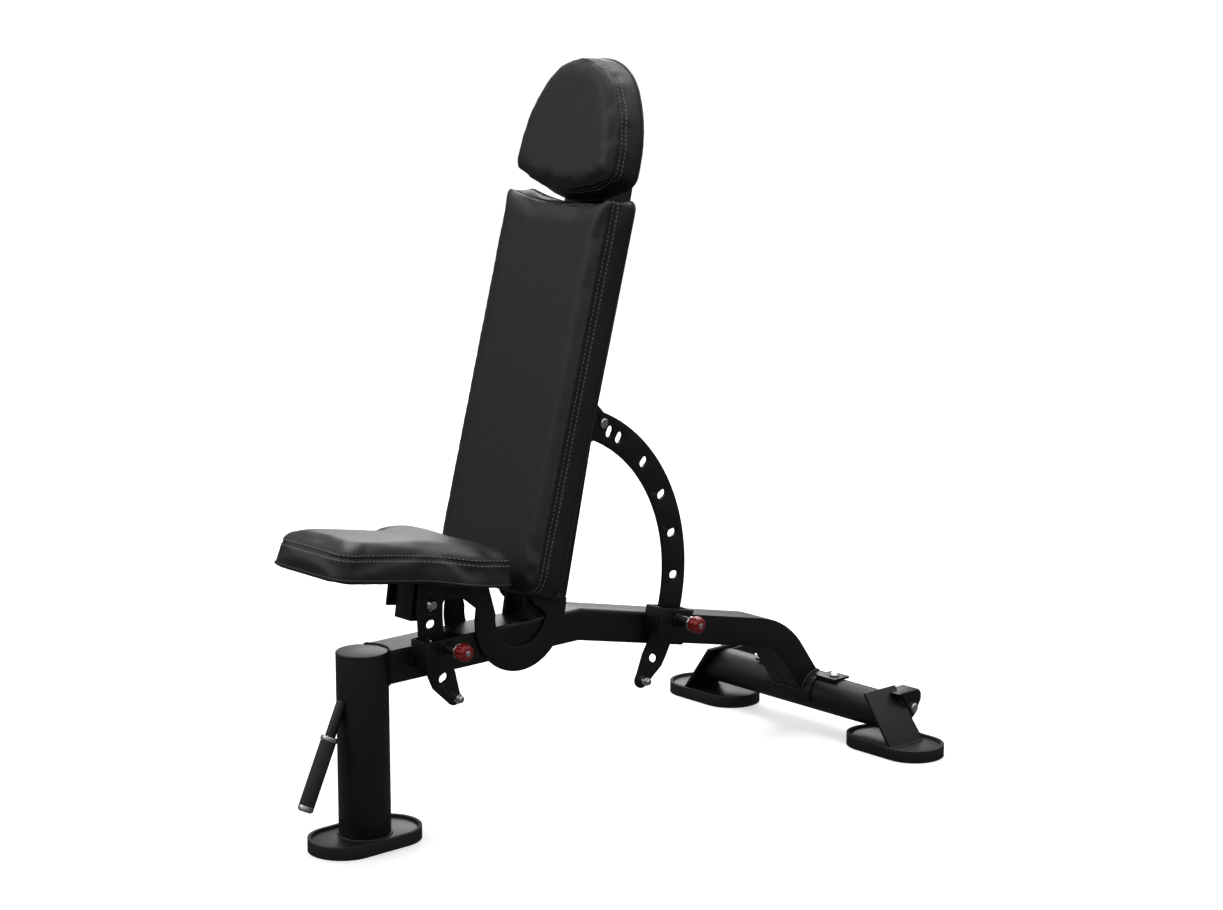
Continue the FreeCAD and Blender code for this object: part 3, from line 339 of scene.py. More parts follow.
def make_finishes(colours):
    """All finishes, by the record's slot names."""
    paint, cover = tuple(colours.paint), tuple(colours.vinyl)
    MATERIALS.update({
        "frame_paint": powder_coat("frame_paint", paint),
        "black_vinyl": vinyl("black_vinyl", cover),
        "foot_rubber": moulded_rubber("foot_rubber", (0.016, 0.016, 0.017)),
        "grip_rubber": knurled_rubber("grip_rubber", (0.030, 0.031, 0.033), GRIP_TURN),
        "aluminium": bright_metal("aluminium", (0.62, 0.63, 0.65), 0.30),
        "chrome": bright_metal("chrome", (0.78, 0.79, 0.81), 0.12),
        "black_screws": powder_coat("black_screws", (0.02, 0.02, 0.02), 0.35),
        "spring_steel": bright_metal("spring_steel", (0.45, 0.45, 0.46), 0.28),
        "red_plastic": gloss_plastic("red_plastic", tuple(colours.knob)),
        "wheel_hub": moulded_rubber("wheel_hub", (0.035, 0.035, 0.036), 0.5, 120.0),
        "wheel_tyre": moulded_rubber("wheel_tyre", (0.014, 0.014, 0.014), 0.8),
        "plywood": plywood("plywood"),
        "thread": thread("thread", tuple(colours.thread)),
        "floor": pale_floor("floor", tuple(colours.floor)),
    })


# ---------------------------------------------------------------- modelling by hand, in code

def clear_selection():
    if bpy.context.object and bpy.context.object.mode != "OBJECT":
        bpy.ops.object.mode_set(mode="OBJECT")
    bpy.ops.object.select_all(action="DESELECT")


def pick(thing):
    clear_selection()
    thing.select_set(True)
    bpy.context.view_layer.objects.active = thing


def settle(thing):
    """Put an object's place into its mesh."""
    pick(thing)
    bpy.ops.object.transform_apply(location=True, rotation=True, scale=True)


def outward(thing):
    """Merge doubles and turn every face outwards."""
    pick(thing)
    bpy.ops.object.mode_set(mode="EDIT")
    bpy.ops.mesh.select_all(action="SELECT")
    bpy.ops.mesh.remove_doubles(threshold=0.01 * MM)
    bpy.ops.mesh.normals_make_consistent(inside=False)
    bpy.ops.object.mode_set(mode="OBJECT")


def apply_modifier(thing, kind, **settings):
    pick(thing)
    modifier = thing.modifiers.new(kind.title(), kind)
    for key, value in settings.items():
        setattr(modifier, key, value)
    bpy.ops.object.modifier_apply(modifier=modifier.name)


def smooth(thing, angle=35.0):
    pick(thing)
    bpy.ops.object.shade_smooth_by_angle(angle=math.radians(angle))


def dress(piece, body, slot, nodes=(), material=None):
    """Give a finished piece its material and its body, and hide the nodes it stands for."""
    piece.data.materials.clear()
    piece.data.materials.append(MATERIALS[material or slot])
    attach(piece, body)
    if nodes:
        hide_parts(*nodes)
    return piece


def join(name, pieces):
    clear_selection()
    for piece in pieces:
        piece.select_set(True)
    bpy.context.view_layer.objects.active = pieces[0]
    if len(pieces) > 1:
        bpy.ops.object.join()
    joined = bpy.context.view_layer.objects.active
    joined.name = name
    joined.data.name = name
    return joined


def copy_node(name, node):
    """A merged copy of a node's mesh."""
    piece = bpy.data.objects.new(name, frame["nodes"][node].data.copy())
    bpy.context.scene.collection.objects.link(piece)
    piece.data.materials.clear()
    pick(piece)
    bpy.ops.object.mode_set(mode="EDIT")
    bpy.ops.mesh.select_all(action="SELECT")
    bpy.ops.mesh.remove_doubles(threshold=0.02 * MM)
    bpy.ops.mesh.normals_make_consistent(inside=False)
    bpy.ops.object.mode_set(mode="OBJECT")
    return piece


def lathe(name, profile, sides=48, cap_ends=True):
    """Turn (radius, height) steps about Z: a circle drawn out and scaled ring by ring."""
    clear_selection()
    radius, height = profile[0]
    bpy.ops.mesh.primitive_circle_add(vertices=sides, radius=radius, location=(0, 0, height))
    piece = bpy.context.object
    piece.name = name
    bpy.ops.object.transform_apply(location=True, rotation=True, scale=True)
    bpy.ops.object.mode_set(mode="EDIT")
    bpy.ops.mesh.select_all(action="SELECT")
    if cap_ends:
        bpy.ops.mesh.edge_face_add()
    for wide, high in profile[1:]:
        step = {"value": (0, 0, high - height)}
        if cap_ends:
            bpy.ops.mesh.extrude_region_move(TRANSFORM_OT_translate=step)
        else:
            bpy.ops.mesh.extrude_edges_move(TRANSFORM_OT_translate=step)
        factor = wide / radius
        bpy.ops.transform.resize(value=(factor, factor, 1), center_override=(0, 0, high))
        radius, height = wide, high
    bpy.ops.object.mode_set(mode="OBJECT")
    outward(piece)
    return piece


def lay(piece, at, turn=None):
    """Move a piece made round Z to its place, its own +Z along the given matrix's Z."""
    piece.matrix_world = Matrix.Translation(at) @ (turn or Matrix.Identity(4))
    settle(piece)
    return piece


ALONG_X = Matrix.Rotation(math.radians(90), 4, "Y")


def centre(node):
    low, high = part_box(node)
    return (Vector(low) + Vector(high)) / 2


# ---------------------------------------------------------------- cushions

def face_depth(point, cushion):
    """How far a point lies behind the cushion's face, in the cushion's own frame."""
    place = cushion["inverse"] @ point
    return cushion["face"] - cushion["out"].dot(place)


CUSHION_THICK = 60 * MM
SEAT_FACE = 84 * MM
BACK_FACE = 108 * MM
FILL = 0.75
SWELL_FRAMES = 20
FLAT_BACK = 4 * MM
BACK_PROUD = 0.8 * MM
CROWN_BAND = 8 * MM
TUCK_END = 6 * MM
STAPLED = 16 * MM
STAPLED_BLEND = 12 * MM
SEAM_SPREAD = 3.2 * MM
SEAM_PULL = 1.9 * MM
SEAM_PUCKER = 0.25
STITCH_PITCH = 1.5
THREAD_SIDES = 6
THREAD_RINGS = ((-1.0, 0.35), (-0.6, 1.0), (0.6, 1.0), (1.0, 0.35))


def cushion_facts(body, name, matrix, out, face):
    """What the steps below need to know of one cushion."""
    return {"body": body, "node": name + "_pad", "board": name + "_board", "matrix": matrix,
            "out": Vector(out), "face": face, "thick": CUSHION_THICK, "fill": FILL}


CUSHIONS = {
    "seat": cushion_facts("seat", "seat", SEAT_FRAME, (0, 0, 1), SEAT_FACE),
    "back": cushion_facts("backrest", "back", BACK_FRAME, (0, -1, 0), BACK_FACE),
    "head": cushion_facts("backrest", "head", BACK_FRAME, (0, -1, 0), BACK_FACE),
}
for shape in CUSHIONS.values():
    shape["inverse"] = shape["matrix"].inverted()


def start_shape(name, cushion, sizes):
    """Remeshed copy of the cushion and its board as one, tucked in and crowned."""
    piece = join(name, [copy_node(name, cushion["node"]), copy_node(name + "_wrap", cushion["board"])])
    piece.data.remesh_voxel_size = sizes.voxel
    bpy.ops.object.voxel_remesh()
    mesh = piece.data
    out = (cushion["matrix"].to_3x3() @ cushion["out"]).normalized()
    middle = cushion["thick"] / 2
    tree = BVHTree.FromObject(piece, bpy.context.evaluated_depsgraph_get())
    moves = []
    for vertex in mesh.vertices:
        depth = face_depth(vertex.co, cushion)
        inside = 1.0 - min(max((depth - middle) / (cushion["thick"] - middle - TUCK_END), 0.0), 1.0)
        move = -vertex.normal * sizes.tuck * inside
        if depth > cushion["thick"] - FLAT_BACK and vertex.normal.dot(out) < -0.5:
            move -= out * (cushion["thick"] + BACK_PROUD - depth)
        if depth < CROWN_BAND:
            side = min(tree.find_nearest(vertex.co - out * middle)[3] / middle, 1.0)
            move += out * (sizes.crown * side)
        moves.append(move)
    for vertex, move in zip(mesh.vertices, moves):
        vertex.co += move
    return piece


def hold_back(piece, cushion):
    """Vertex group that pins the stapled back of the cover."""
    group = piece.vertex_groups.new(name="stapled")
    for vertex in piece.data.vertices:
        depth = face_depth(vertex.co, cushion)
        weight = min(max((depth - cushion["thick"] + STAPLED) / STAPLED_BLEND, 0.0), 1.0)
        if weight > 0:
            group.add([vertex.index], weight, "REPLACE")
    return group.name


def inflate(piece, group, sizes):
    """Let the filling swell the cover, and keep every point within the cap."""
    start = [vertex.co.copy() for vertex in piece.data.vertices]
    cloth = piece.modifiers.new("Cover", "CLOTH")
    cloth.settings.use_pressure = True
    cloth.settings.uniform_pressure_force = sizes.pressure
    cloth.settings.effector_weights.gravity = 0.0
    cloth.settings.vertex_group_mass = group
    cloth.settings.quality = 5
    cloth.settings.mass = 0.4
    cloth.point_cache.frame_start = 1
    cloth.point_cache.frame_end = SWELL_FRAMES
    scene = bpy.context.scene
    for step in range(1, SWELL_FRAMES + 1):
        scene.frame_set(step)
    swollen = piece.evaluated_get(bpy.context.evaluated_depsgraph_get()).data
    ends = [vertex.co.copy() for vertex in swollen.vertices]
    piece.modifiers.remove(cloth)
    for vertex, first, last in zip(piece.data.vertices, start, ends):
        move = last - first
        if move.length > sizes.swell:
            move.length = sizes.swell
        vertex.co = first + move
    scene.frame_set(1)


def sew(piece, cushion, sizes):
    """Draw the cover in along its seam, with a small pucker at each stitch."""
    pitch = sizes.stitch * STITCH_PITCH
    inverse = cushion["inverse"]
    moves = []
    for vertex in piece.data.vertices:
        depth = face_depth(vertex.co, cushion)
        off = (depth - sizes.seam_depth) / SEAM_SPREAD
        place = inverse @ vertex.co
        pucker = 1.0 + SEAM_PUCKER * math.sin(math.tau * (place.x + place.y + place.z) / pitch)
        moves.append(vertex.normal * (SEAM_PULL * pucker * math.exp(-off * off)))
    for vertex, move in zip(piece.data.vertices, moves):
        vertex.co -= move


def surface_loop(piece, cushion, depth):
    """Closed line of points where the cover lies this far behind its face."""
    out = (cushion["matrix"].to_3x3() @ cushion["out"]).normalized()
    at = cushion["matrix"] @ (cushion["out"] * (cushion["face"] - depth))
    ring = piece.copy()
    ring.data = piece.data.copy()
    bpy.context.scene.collection.objects.link(ring)
    pick(ring)
    bpy.ops.object.mode_set(mode="EDIT")
    bpy.ops.mesh.select_all(action="SELECT")
    bpy.ops.mesh.bisect(plane_co=at, plane_no=out, clear_inner=True, clear_outer=True, threshold=1e-6)
    bpy.ops.object.mode_set(mode="OBJECT")
    work = bmesh.new()
    work.from_mesh(ring.data)
    bpy.data.objects.remove(ring)
    loops = []
    fresh = set(work.verts)
    while fresh:
        vertex = fresh.pop()
        line = [vertex.co.copy()]
        while True:
            ahead = [edge.other_vert(vertex) for edge in vertex.link_edges]
            ahead = [other for other in ahead if other in fresh]
            if not ahead:
                break
            vertex = ahead[0]
            fresh.discard(vertex)
            line.append(vertex.co.copy())
        loops.append(line)
    work.free()
    return max(loops, key=path_length)


def path_length(line):
    return sum((b - a).length for a, b in zip(line, line[1:]))


def evenly(line, step):
    """Points spaced evenly round a closed line."""
    closed = line + line[:1]
    total = path_length(closed)
    count = max(8, round(total / step))
    gap = total / count
    points = []
    walked, target = 0.0, 0.0
    for first, last in zip(closed, closed[1:]):
        length = (last - first).length
        while length > 0 and target <= walked + length and len(points) < count:
            points.append(first.lerp(last, (target - walked) / length))
            target += gap
        walked += length
    return points


def stitch_rows(name, piece, cushion, sizes):
    """Two rows of raised stitches, one each side of the seam."""
    tree = BVHTree.FromObject(piece, bpy.context.evaluated_depsgraph_get())
    verts, faces = [], []
    half, thick = sizes.stitch / 2, sizes.thread / 2
    for side in (-0.5, 0.5):
        line = surface_loop(piece, cushion, sizes.seam_depth + side * sizes.row_gap)
        points = evenly(line, sizes.stitch * STITCH_PITCH)
        for index, point in enumerate(points):
            along = (points[(index + 1) % len(points)] - points[index - 1]).normalized()
            normal = tree.find_nearest(point)[1]
            across = along.cross(normal).normalized()
            first = len(verts)
            for reach, swell in THREAD_RINGS:
                middle = point + along * (half * reach) + normal * (thick * (0.55 * swell - 0.25))
                for corner in range(THREAD_SIDES):
                    angle = math.tau * corner / THREAD_SIDES
                    spoke = across * math.cos(angle) + normal * math.sin(angle)
                    verts.append(middle + spoke * thick * swell)
            for ring in range(len(THREAD_RINGS) - 1):
                low = first + ring * THREAD_SIDES
                for corner in range(THREAD_SIDES):
                    after = (corner + 1) % THREAD_SIDES
                    faces.append((low + corner, low + after, low + THREAD_SIDES + after,
                                  low + THREAD_SIDES + corner))
            last = first + THREAD_SIDES * (len(THREAD_RINGS) - 1)
            faces.append(tuple(first + corner for corner in reversed(range(THREAD_SIDES))))
            faces.append(tuple(last + corner for corner in range(THREAD_SIDES)))
    mesh = bpy.data.meshes.new(name)
    mesh.from_pydata(verts, [], faces)
    stitches = bpy.data.objects.new(name, mesh)
    bpy.context.scene.collection.objects.link(stitches)
    outward(stitches)
    smooth(stitches, 60.0)
    return stitches


def piping(name, line, thick, spacing=6 * MM):
    """Round cord along a closed line."""
    curve = bpy.data.curves.new(name, "CURVE")
    curve.dimensions = "3D"
    curve.bevel_depth = thick / 2
    curve.bevel_resolution = 3
    points = evenly(line, spacing)
    spline = curve.splines.new("POLY")
    spline.points.add(len(points) - 1)
    for slot, point in zip(spline.points, points):
        slot.co = (*point, 1.0)
    spline.use_cyclic_u = True
    cord = bpy.data.objects.new(name, curve)
    bpy.context.scene.collection.objects.link(cord)
    pick(cord)
    bpy.ops.object.convert(target="MESH")
    cord = bpy.context.object
    outward(cord)
    smooth(cord, 80.0)
    return cord


def make_cushion(part, sizes):
    """One upholstered cushion with its seam, its two rows of stitches and its welt."""
    cushion = CUSHIONS[part]
    piece = start_shape(part + "_cushion", cushion, sizes)
    group = hold_back(piece, cushion)
    inflate(piece, group, sizes)
    piece.vertex_groups.clear()
    apply_modifier(piece, "SMOOTH", factor=0.5, iterations=8)
    apply_modifier(piece, "SUBSURF", levels=1, render_levels=1)
    sew(piece, cushion, sizes)
    outward(piece)
    smooth(piece, 80.0)
    dress(piece, cushion["body"], "black_vinyl", [cushion["node"]])
    rows = stitch_rows(part + "_stitches", piece, cushion, sizes)
    dress(rows, cushion["body"], "black_vinyl", material="thread")
    line = surface_loop(piece, cushion, cushion["thick"] - sizes.welt)
    dress(piping(part + "_welt", line, sizes.welt), cushion["body"], "black_vinyl")


# ---------------------------------------------------------------- steel, fittings and welds

SOFT_STEEL = {
    "front_post": 0.8, "post_top_cap": 1.4, "front_base_plate": 1.2, "rear_base_left_plate": 1.2,
    "rear_base_right_plate": 1.2, "rear_cross_tube": 0.8, "saddle": 1.0, "leg_end_plate_left": 1.2,
    "leg_end_plate_right": 1.2, "wheel_bracket_left": 0.8, "wheel_bracket_right": 0.8,
    "pivot_tower_plates": 1.2, "back_sleeve": 1.4, "seat_sleeve": 1.4, "seat_side_plate_left": 1.0,
    "seat_side_plate_right": 1.0, "seat_strut": 1.6, "seat_sector": 0.9, "back_sector": 0.9,
    "seat_cross_plates": 0.8, "back_channel": 1.1, "back_cross_plates": 0.8, "handle_tube": 0.6,
    "front_rubber_foot": 1.6, "rear_left_rubber_foot": 1.6, "rear_right_rubber_foot": 1.6,
    "handle_grip": 1.2, "handle_collar": 0.8, "handle_end_cap": 1.2, "seat_board": 1.0,
    "back_board": 1.0, "head_board": 1.0,
}
TUBES = ("front_beam", "rear_beam", "arch_tube_left", "arch_tube_right")


def body_and_slot(node):
    row = next(row for row in frame["record"]["subparts"] if row["node"] == node)
    body = next(name for name, rows in frame["record"]["behaviour"]["bodies"].items() if node in rows)
    return body, row["material_slot"]


def soften(node, width, angle=28.0):
    """A node's copy with its cut edges rounded, so that they catch the light."""
    piece = copy_node(node + "_soft", node)
    apply_modifier(piece, "BEVEL", width=width, segments=2, limit_method="ANGLE",
                   angle_limit=math.radians(angle), harden_normals=False)
    outward(piece)
    smooth(piece, 32.0)
    return dress(piece, *body_and_slot(node), [node])


def round_tube(node, radius, least=60 * MM):
    """A square tube's copy with its long corners drawn round."""
    piece = copy_node(node + "_tube", node)
    pick(piece)
    bpy.ops.object.mode_set(mode="EDIT")
    bpy.ops.mesh.select_all(action="SELECT")
    bpy.ops.mesh.dissolve_limited(angle_limit=math.radians(0.5))
    bpy.ops.mesh.select_mode(type="EDGE")
    bpy.ops.mesh.select_all(action="DESELECT")
    work = bmesh.from_edit_mesh(piece.data)
    for edge in work.edges:
        turned = len(edge.link_faces) == 2 and edge.calc_face_angle(0.0) > math.radians(60)
        along = edge.verts[0].co - edge.verts[1].co
        edge.select_set(turned and (along.length > least or node.startswith("arch"))
                        and abs(along.normalized().x) < 0.2 and on_outside(edge, work))
    bmesh.update_edit_mesh(piece.data)
    bpy.ops.mesh.bevel(offset=radius, segments=4, affect="EDGES", clamp_overlap=True)
    bpy.ops.object.mode_set(mode="OBJECT")
    outward(piece)
    smooth(piece, 32.0)
    return dress(piece, *body_and_slot(node), [node])


def on_outside(edge, work):
    """True for an edge on a side plane of the tube's own box across X."""
    sides = [vertex.co.x for vertex in work.verts]
    across = (edge.verts[0].co.x + edge.verts[1].co.x) / 2
    return min(abs(across - min(sides)), abs(across - max(sides))) < 0.1 * MM


def weld(name, line, thick, body="frame", closed=True):
    """A rippled bead of weld along a line."""
    pitch = thick * 0.35
    points = evenly(line, pitch) if closed else spaced(line, pitch)
    curve = bpy.data.curves.new(name, "CURVE")
    curve.dimensions = "3D"
    curve.bevel_depth = thick / 2
    curve.bevel_resolution = 2
    curve.use_fill_caps = not closed
    spline = curve.splines.new("POLY")
    spline.points.add(len(points) - 1)
    for index, (slot, point) in enumerate(zip(spline.points, points)):
        slot.co = (*point, 1.0)
        slot.radius = 1.0 + 0.13 * math.sin(index * math.tau / 4) + 0.06 * math.sin(index * 0.37)
    spline.use_cyclic_u = closed
    bead = bpy.data.objects.new(name, curve)
    bpy.context.scene.collection.objects.link(bead)
    pick(bead)
    bpy.ops.object.convert(target="MESH")
    bead = bpy.context.object
    outward(bead)
    smooth(bead, 80.0)
    return dress(bead, body, "frame_paint")


def spaced(line, step):
    """Points spaced evenly along an open line."""
    total = path_length(line)
    count = max(2, round(total / step))
    points, walked = [], 0.0
    marks = [total * index / count for index in range(count + 1)]
    for first, last in zip(line, line[1:]):
        length = (last - first).length
        while marks and marks[0] <= walked + length + 1e-9:
            points.append(first.lerp(last, (marks.pop(0) - walked) / length))
        walked += length
    return points


def ring_points(middle, radius, axis="Z", count=72):
    first, second = {"Z": (0, 1), "X": (1, 2)}[axis]
    points = []
    for index in range(count):
        angle = math.tau * index / count
        point = Vector(middle)
        point[first] += radius * math.cos(angle)
        point[second] += radius * math.sin(angle)
        points.append(point)
    return points


JOINT_THROW = -JOINTS["seat_pin_pull"]["range_m"][0]
KNOB_OUTLINE = [(0.84, 0.10), (0.90, 0.20), (0.985, 0.32), (1.0, 0.44), (1.0, 0.60), (0.985, 0.72),
                (0.94, 0.82), (0.84, 0.90), (0.66, 0.955), (0.44, 0.98), (0.30, 0.98)]


def pull_knob(node, body, settings):
    """A lobed pull knob, hollow so that its barrel slides in, with a chrome collar round its root."""
    low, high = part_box(node)
    long, wide = high[0] - low[0], (high[2] - low[2]) / 2
    barrel_low, barrel_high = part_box(node.replace("knob", "barrel"))
    bore = (barrel_high[2] - barrel_low[2]) / 2 + 0.5 * MM
    deep = JOINT_THROW + 1.5 * MM
    shape = [(bore * 0.5, deep), (bore, deep), (bore, 0.3 * MM)]
    shape += [(bore + 0.4 * MM, 0.0), (bore + 1.2 * MM, 0.0)]
    shape += [(wide * across, long * up) for across, up in KNOB_OUTLINE]
    knob = lathe(node + "_lobed", shape, 96)
    for vertex in knob.data.vertices:
        radius = math.hypot(vertex.co.x, vertex.co.y)
        if radius < wide * 0.82:
            continue
        wave = (1 - math.cos(settings.knob_lobes * math.atan2(vertex.co.y, vertex.co.x))) / 2
        factor = 1 - settings.knob_flute * (1 - wave) ** 2 * (radius / wide) ** 2 / radius
        vertex.co.x *= factor
        vertex.co.y *= factor
    root = Vector((low[0], (low[1] + high[1]) / 2, (low[2] + high[2]) / 2))
    lay(knob, root, ALONG_X)
    smooth(knob, 60.0)
    dress(knob, body, "red_plastic", [node])
    ring = [(0.2, 0.0), (1.9, 0.0), (2.5, 0.6), (2.5, 2.6), (1.9, 3.2), (0.2, 3.2), (0.2, 0.0)]
    collar = lathe(node + "_collar", [(bore + across * MM, up * MM) for across, up in ring], 48, False)
    lay(collar, root + Vector((-0.4 * MM, 0, 0)), ALONG_X)
    smooth(collar, 40.0)
    dress(collar, body, "chrome")
    button = lathe(node + "_button", [(5.2 * MM, 0.0), (5.2 * MM, 0.5 * MM), (4.4 * MM, 1.1 * MM),
                                      (2.4 * MM, 1.5 * MM)], 32)
    lay(button, root + Vector((long - 1.1 * MM, 0, 0)), ALONG_X)
    smooth(button, 50.0)
    dress(button, body, "chrome")


SPRING_INSET = 0.8 * MM
SPRING_RADIUS = 5.4 * MM
SPRING_TURNS = 6
SPRING_WIRE = 1.2 * MM
COIL_STEPS = 20


def coil(name, start, length, radius, turns, wire):
    """An open helix of spring wire along X."""
    line = []
    steps = turns * COIL_STEPS
    for index in range(steps + 1):
        angle = math.tau * index / COIL_STEPS
        line.append(Vector(start) + Vector((length * index / steps, radius * math.cos(angle),
                                            radius * math.sin(angle))))
    curve = bpy.data.curves.new(name, "CURVE")
    curve.dimensions = "3D"
    curve.bevel_depth = wire / 2
    curve.bevel_resolution = 2
    curve.use_fill_caps = True
    spline = curve.splines.new("POLY")
    spline.points.add(len(line) - 1)
    for slot, point in zip(spline.points, line):
        slot.co = (*point, 1.0)
    spring = bpy.data.objects.new(name, curve)
    bpy.context.scene.collection.objects.link(spring)
    pick(spring)
    bpy.ops.object.convert(target="MESH")
    spring = bpy.context.object
    outward(spring)
    smooth(spring, 80.0)
    return spring


def hull(points):
    """Corners of the convex outline round flat points."""
    points = sorted(set(points))
    halves = []
    for row in (points, points[::-1]):
        chain = []
        for point in row:
            while len(chain) > 1 and turn_of(chain[-2], chain[-1], point) <= 0:
                chain.pop()
            chain.append(point)
        halves += chain[:-1]
    return halves


def turn_of(first, second, third):
    return ((second[0] - first[0]) * (third[1] - first[1])
            - (second[1] - first[1]) * (third[0] - first[0]))


def cope_weld(name, nodes, middle, axis, radius, thick):
    """A bead where tubes land on a round tube whose axis runs through this point."""
    along, first, second = {"Z": (2, 0, 1), "X": (0, 1, 2)}[axis]
    flat = []
    for node in nodes:
        for vertex in frame["nodes"][node].data.vertices:
            place = frame["nodes"][node].matrix_world @ vertex.co
            reach = math.hypot(place[first] - middle[first], place[second] - middle[second])
            if abs(reach - radius) < 1.2 * MM:
                angle = math.atan2(place[second] - middle[second], place[first] - middle[first]) % math.tau
                flat.append((round(place[along], 5), round(angle * radius, 5)))
    corners = hull(flat)
    line = []
    for start, end in zip(corners, corners[1:] + corners[:1]):
        for step in range(12):
            share = step / 12
            angle = (start[1] + (end[1] - start[1]) * share) / radius
            point = Vector(middle)
            point[along] = start[0] + (end[0] - start[0]) * share
            point[first] += (radius + thick * 0.15) * math.cos(angle)
            point[second] += (radius + thick * 0.15) * math.sin(angle)
            line.append(point)
    return weld(name, line, thick)


class BENCH_OT_steelwork(bpy.types.Operator):
    """Round the edges of the steel, the rubber feet and the boards"""
    bl_idname = "bench.steelwork"
    bl_label = "Steelwork"

    def execute(self, context):
        settings = context.scene.bench_fitting
        scale = settings.soft_edge / (0.9 * MM)
        for node, width in SOFT_STEEL.items():
            soften(node, width * MM * scale)
        for node in TUBES:
            round_tube(node, settings.tube_corner)
        return {"FINISHED"}


class BENCH_OT_knobs(bpy.types.Operator):
    """Model the two pull knobs and the springs behind them"""
    bl_idname = "bench.knobs"
    bl_label = "Pull knobs"

    def execute(self, context):
        settings = context.scene.bench_fitting
        for side in ("seat", "back"):
            pull_knob(side + "_pin_knob", side + "_pin", settings)
        springs = []
        low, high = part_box("pin_springs")
        for side in ("seat", "back"):
            barrel = centre(side + "_pin_barrel")
            start = (low[0] + SPRING_INSET, barrel.y, barrel.z)
            springs.append(coil(side + "_spring", start, high[0] - low[0] - 2 * SPRING_INSET,
                                SPRING_RADIUS, SPRING_TURNS, SPRING_WIRE))
        dress(join("pin_springs_coiled", springs), "frame", "spring_steel", ["pin_springs"])
        return {"FINISHED"}


class BENCH_OT_welds(bpy.types.Operator):
    """Lay the weld beads round the joints of the frame"""
    bl_idname = "bench.welds"
    bl_label = "Welds"

    def execute(self, context):
        bead = context.scene.bench_fitting.bead
        low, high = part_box("front_post")
        post, radius = centre("front_post"), (high[0] - low[0]) / 2
        weld("weld_post_foot", ring_points((post.x, post.y, low[2]), radius + bead * 0.1), bead)
        weld("weld_post_top", ring_points((post.x, post.y, high[2]), radius - bead * 0.25), bead * 0.6)
        cope_weld("weld_post_beam", ["front_beam"], post, "Z", radius, bead)
        tube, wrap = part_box("rear_cross_tube"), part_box("saddle")
        cope_weld("weld_arch_saddle", ["arch_tube_left", "arch_tube_right"], centre("rear_cross_tube"), "X",
                  (tube[1][2] - tube[0][2]) / 2 + tube[0][1] - wrap[0][1], bead * 1.2)
        for side in ("seat", "back"):
            low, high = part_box(side + "_pin_barrel")
            middle = centre(side + "_pin_barrel")
            root = (low[0] + bead * 0.2, middle.y, middle.z)
            ring = ring_points(root, (high[2] - low[2]) / 2 + bead * 0.1, "X")
            weld("weld_" + side + "_barrel", ring, bead * 0.7)
        for side, node in (("left", "rear_base_left_plate"), ("right", "rear_base_right_plate")):
            plate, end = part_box("leg_end_plate_" + side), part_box(node)
            outer = plate[1][0] if side == "right" else plate[0][0]
            reach = bead * 0.2 * (1 if side == "right" else -1)
            weld("weld_end_plate_" + side,
                 [Vector((outer + reach, plate[0][1] + bead, end[1][2])),
                  Vector((outer + reach, plate[1][1] - bead, end[1][2]))], bead, closed=False)
        low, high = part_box("pivot_tower_plates")
        for side in (low[0], high[0]):
            weld("weld_tower_%d" % (side > 0), [Vector((side, low[1] + bead, low[2] + bead * 0.2)),
                                                Vector((side, high[1] - bead, low[2] + bead * 0.2))],
                 bead, closed=False)
        low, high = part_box("seat_sleeve")
        beam_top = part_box("front_beam")[1][2]
        for edge, end in ((low[1], "front"), (high[1], "rear")):
            line = [Vector((low[0] + bead * 0.2, edge, low[2] + bead)),
                    Vector((low[0] + bead * 0.2, edge, beam_top - bead))]
            weld("weld_seat_sleeve_" + end, line, bead * 0.8, closed=False)
        return {"FINISHED"}


# ---------------------------------------------------------------- tools in Blender's sidebar

class BENCH_OT_finishes(bpy.types.Operator):
    """Make the finishes and give them to the frame's own nodes"""
    bl_idname = "bench.finishes"
    bl_label = "Finishes"

    def execute(self, context):
        make_finishes(context.scene.bench_finish)
        slots = {row["node"]: row["material_slot"] for row in frame["record"]["subparts"]}
        for node, thing in frame["nodes"].items():
            thing.data.materials.clear()
            thing.data.materials.append(MATERIALS[slots[node]])
        return {"FINISHED"}


class BENCH_OT_cushions(bpy.types.Operator):
    """Upholster the seat, the backrest and the head rest"""
    bl_idname = "bench.cushions"
    bl_label = "Cushions"

    def execute(self, context):
        for part in CUSHIONS:
            make_cushion(part, context.scene.bench_cushion)
        return {"FINISHED"}


class BENCH_OT_stage(bpy.types.Operator):
    """Set up the floor, the soft lights and the camera"""
    bl_idname = "bench.stage"
    bl_label = "Stage"

    def execute(self, context):
        add_floor()
        add_lights(context.scene)
        add_camera(context.scene)
        return {"FINISHED"}


FLOOR_WIDE = 60.0
CAMERA_PLACE = (3.7244, -3.3130, 1.6163)
CAMERA_AZIMUTH = 47.8
CAMERA_PITCH = 11.5
CAMERA_LENS = 84.8
SOFTBOXES = [
    ("key", (-1.6, -3.4, 3.0), 2.0, 26.0),
    ("top", (-0.6, 0.9, 3.4), 2.4, 60.0),
    ("rear", (-3.2, 3.0, 1.9), 1.8, 40.0),
]


def add_floor():
    clear_selection()
    bpy.ops.mesh.primitive_plane_add(size=FLOOR_WIDE, location=(0, 0, -0.5 * MM))
    floor = bpy.context.object
    floor.name = "floor"
    settle(floor)
    floor.data.materials.append(MATERIALS["floor"])
    floor.visible_diffuse = False
    floor.visible_glossy = False


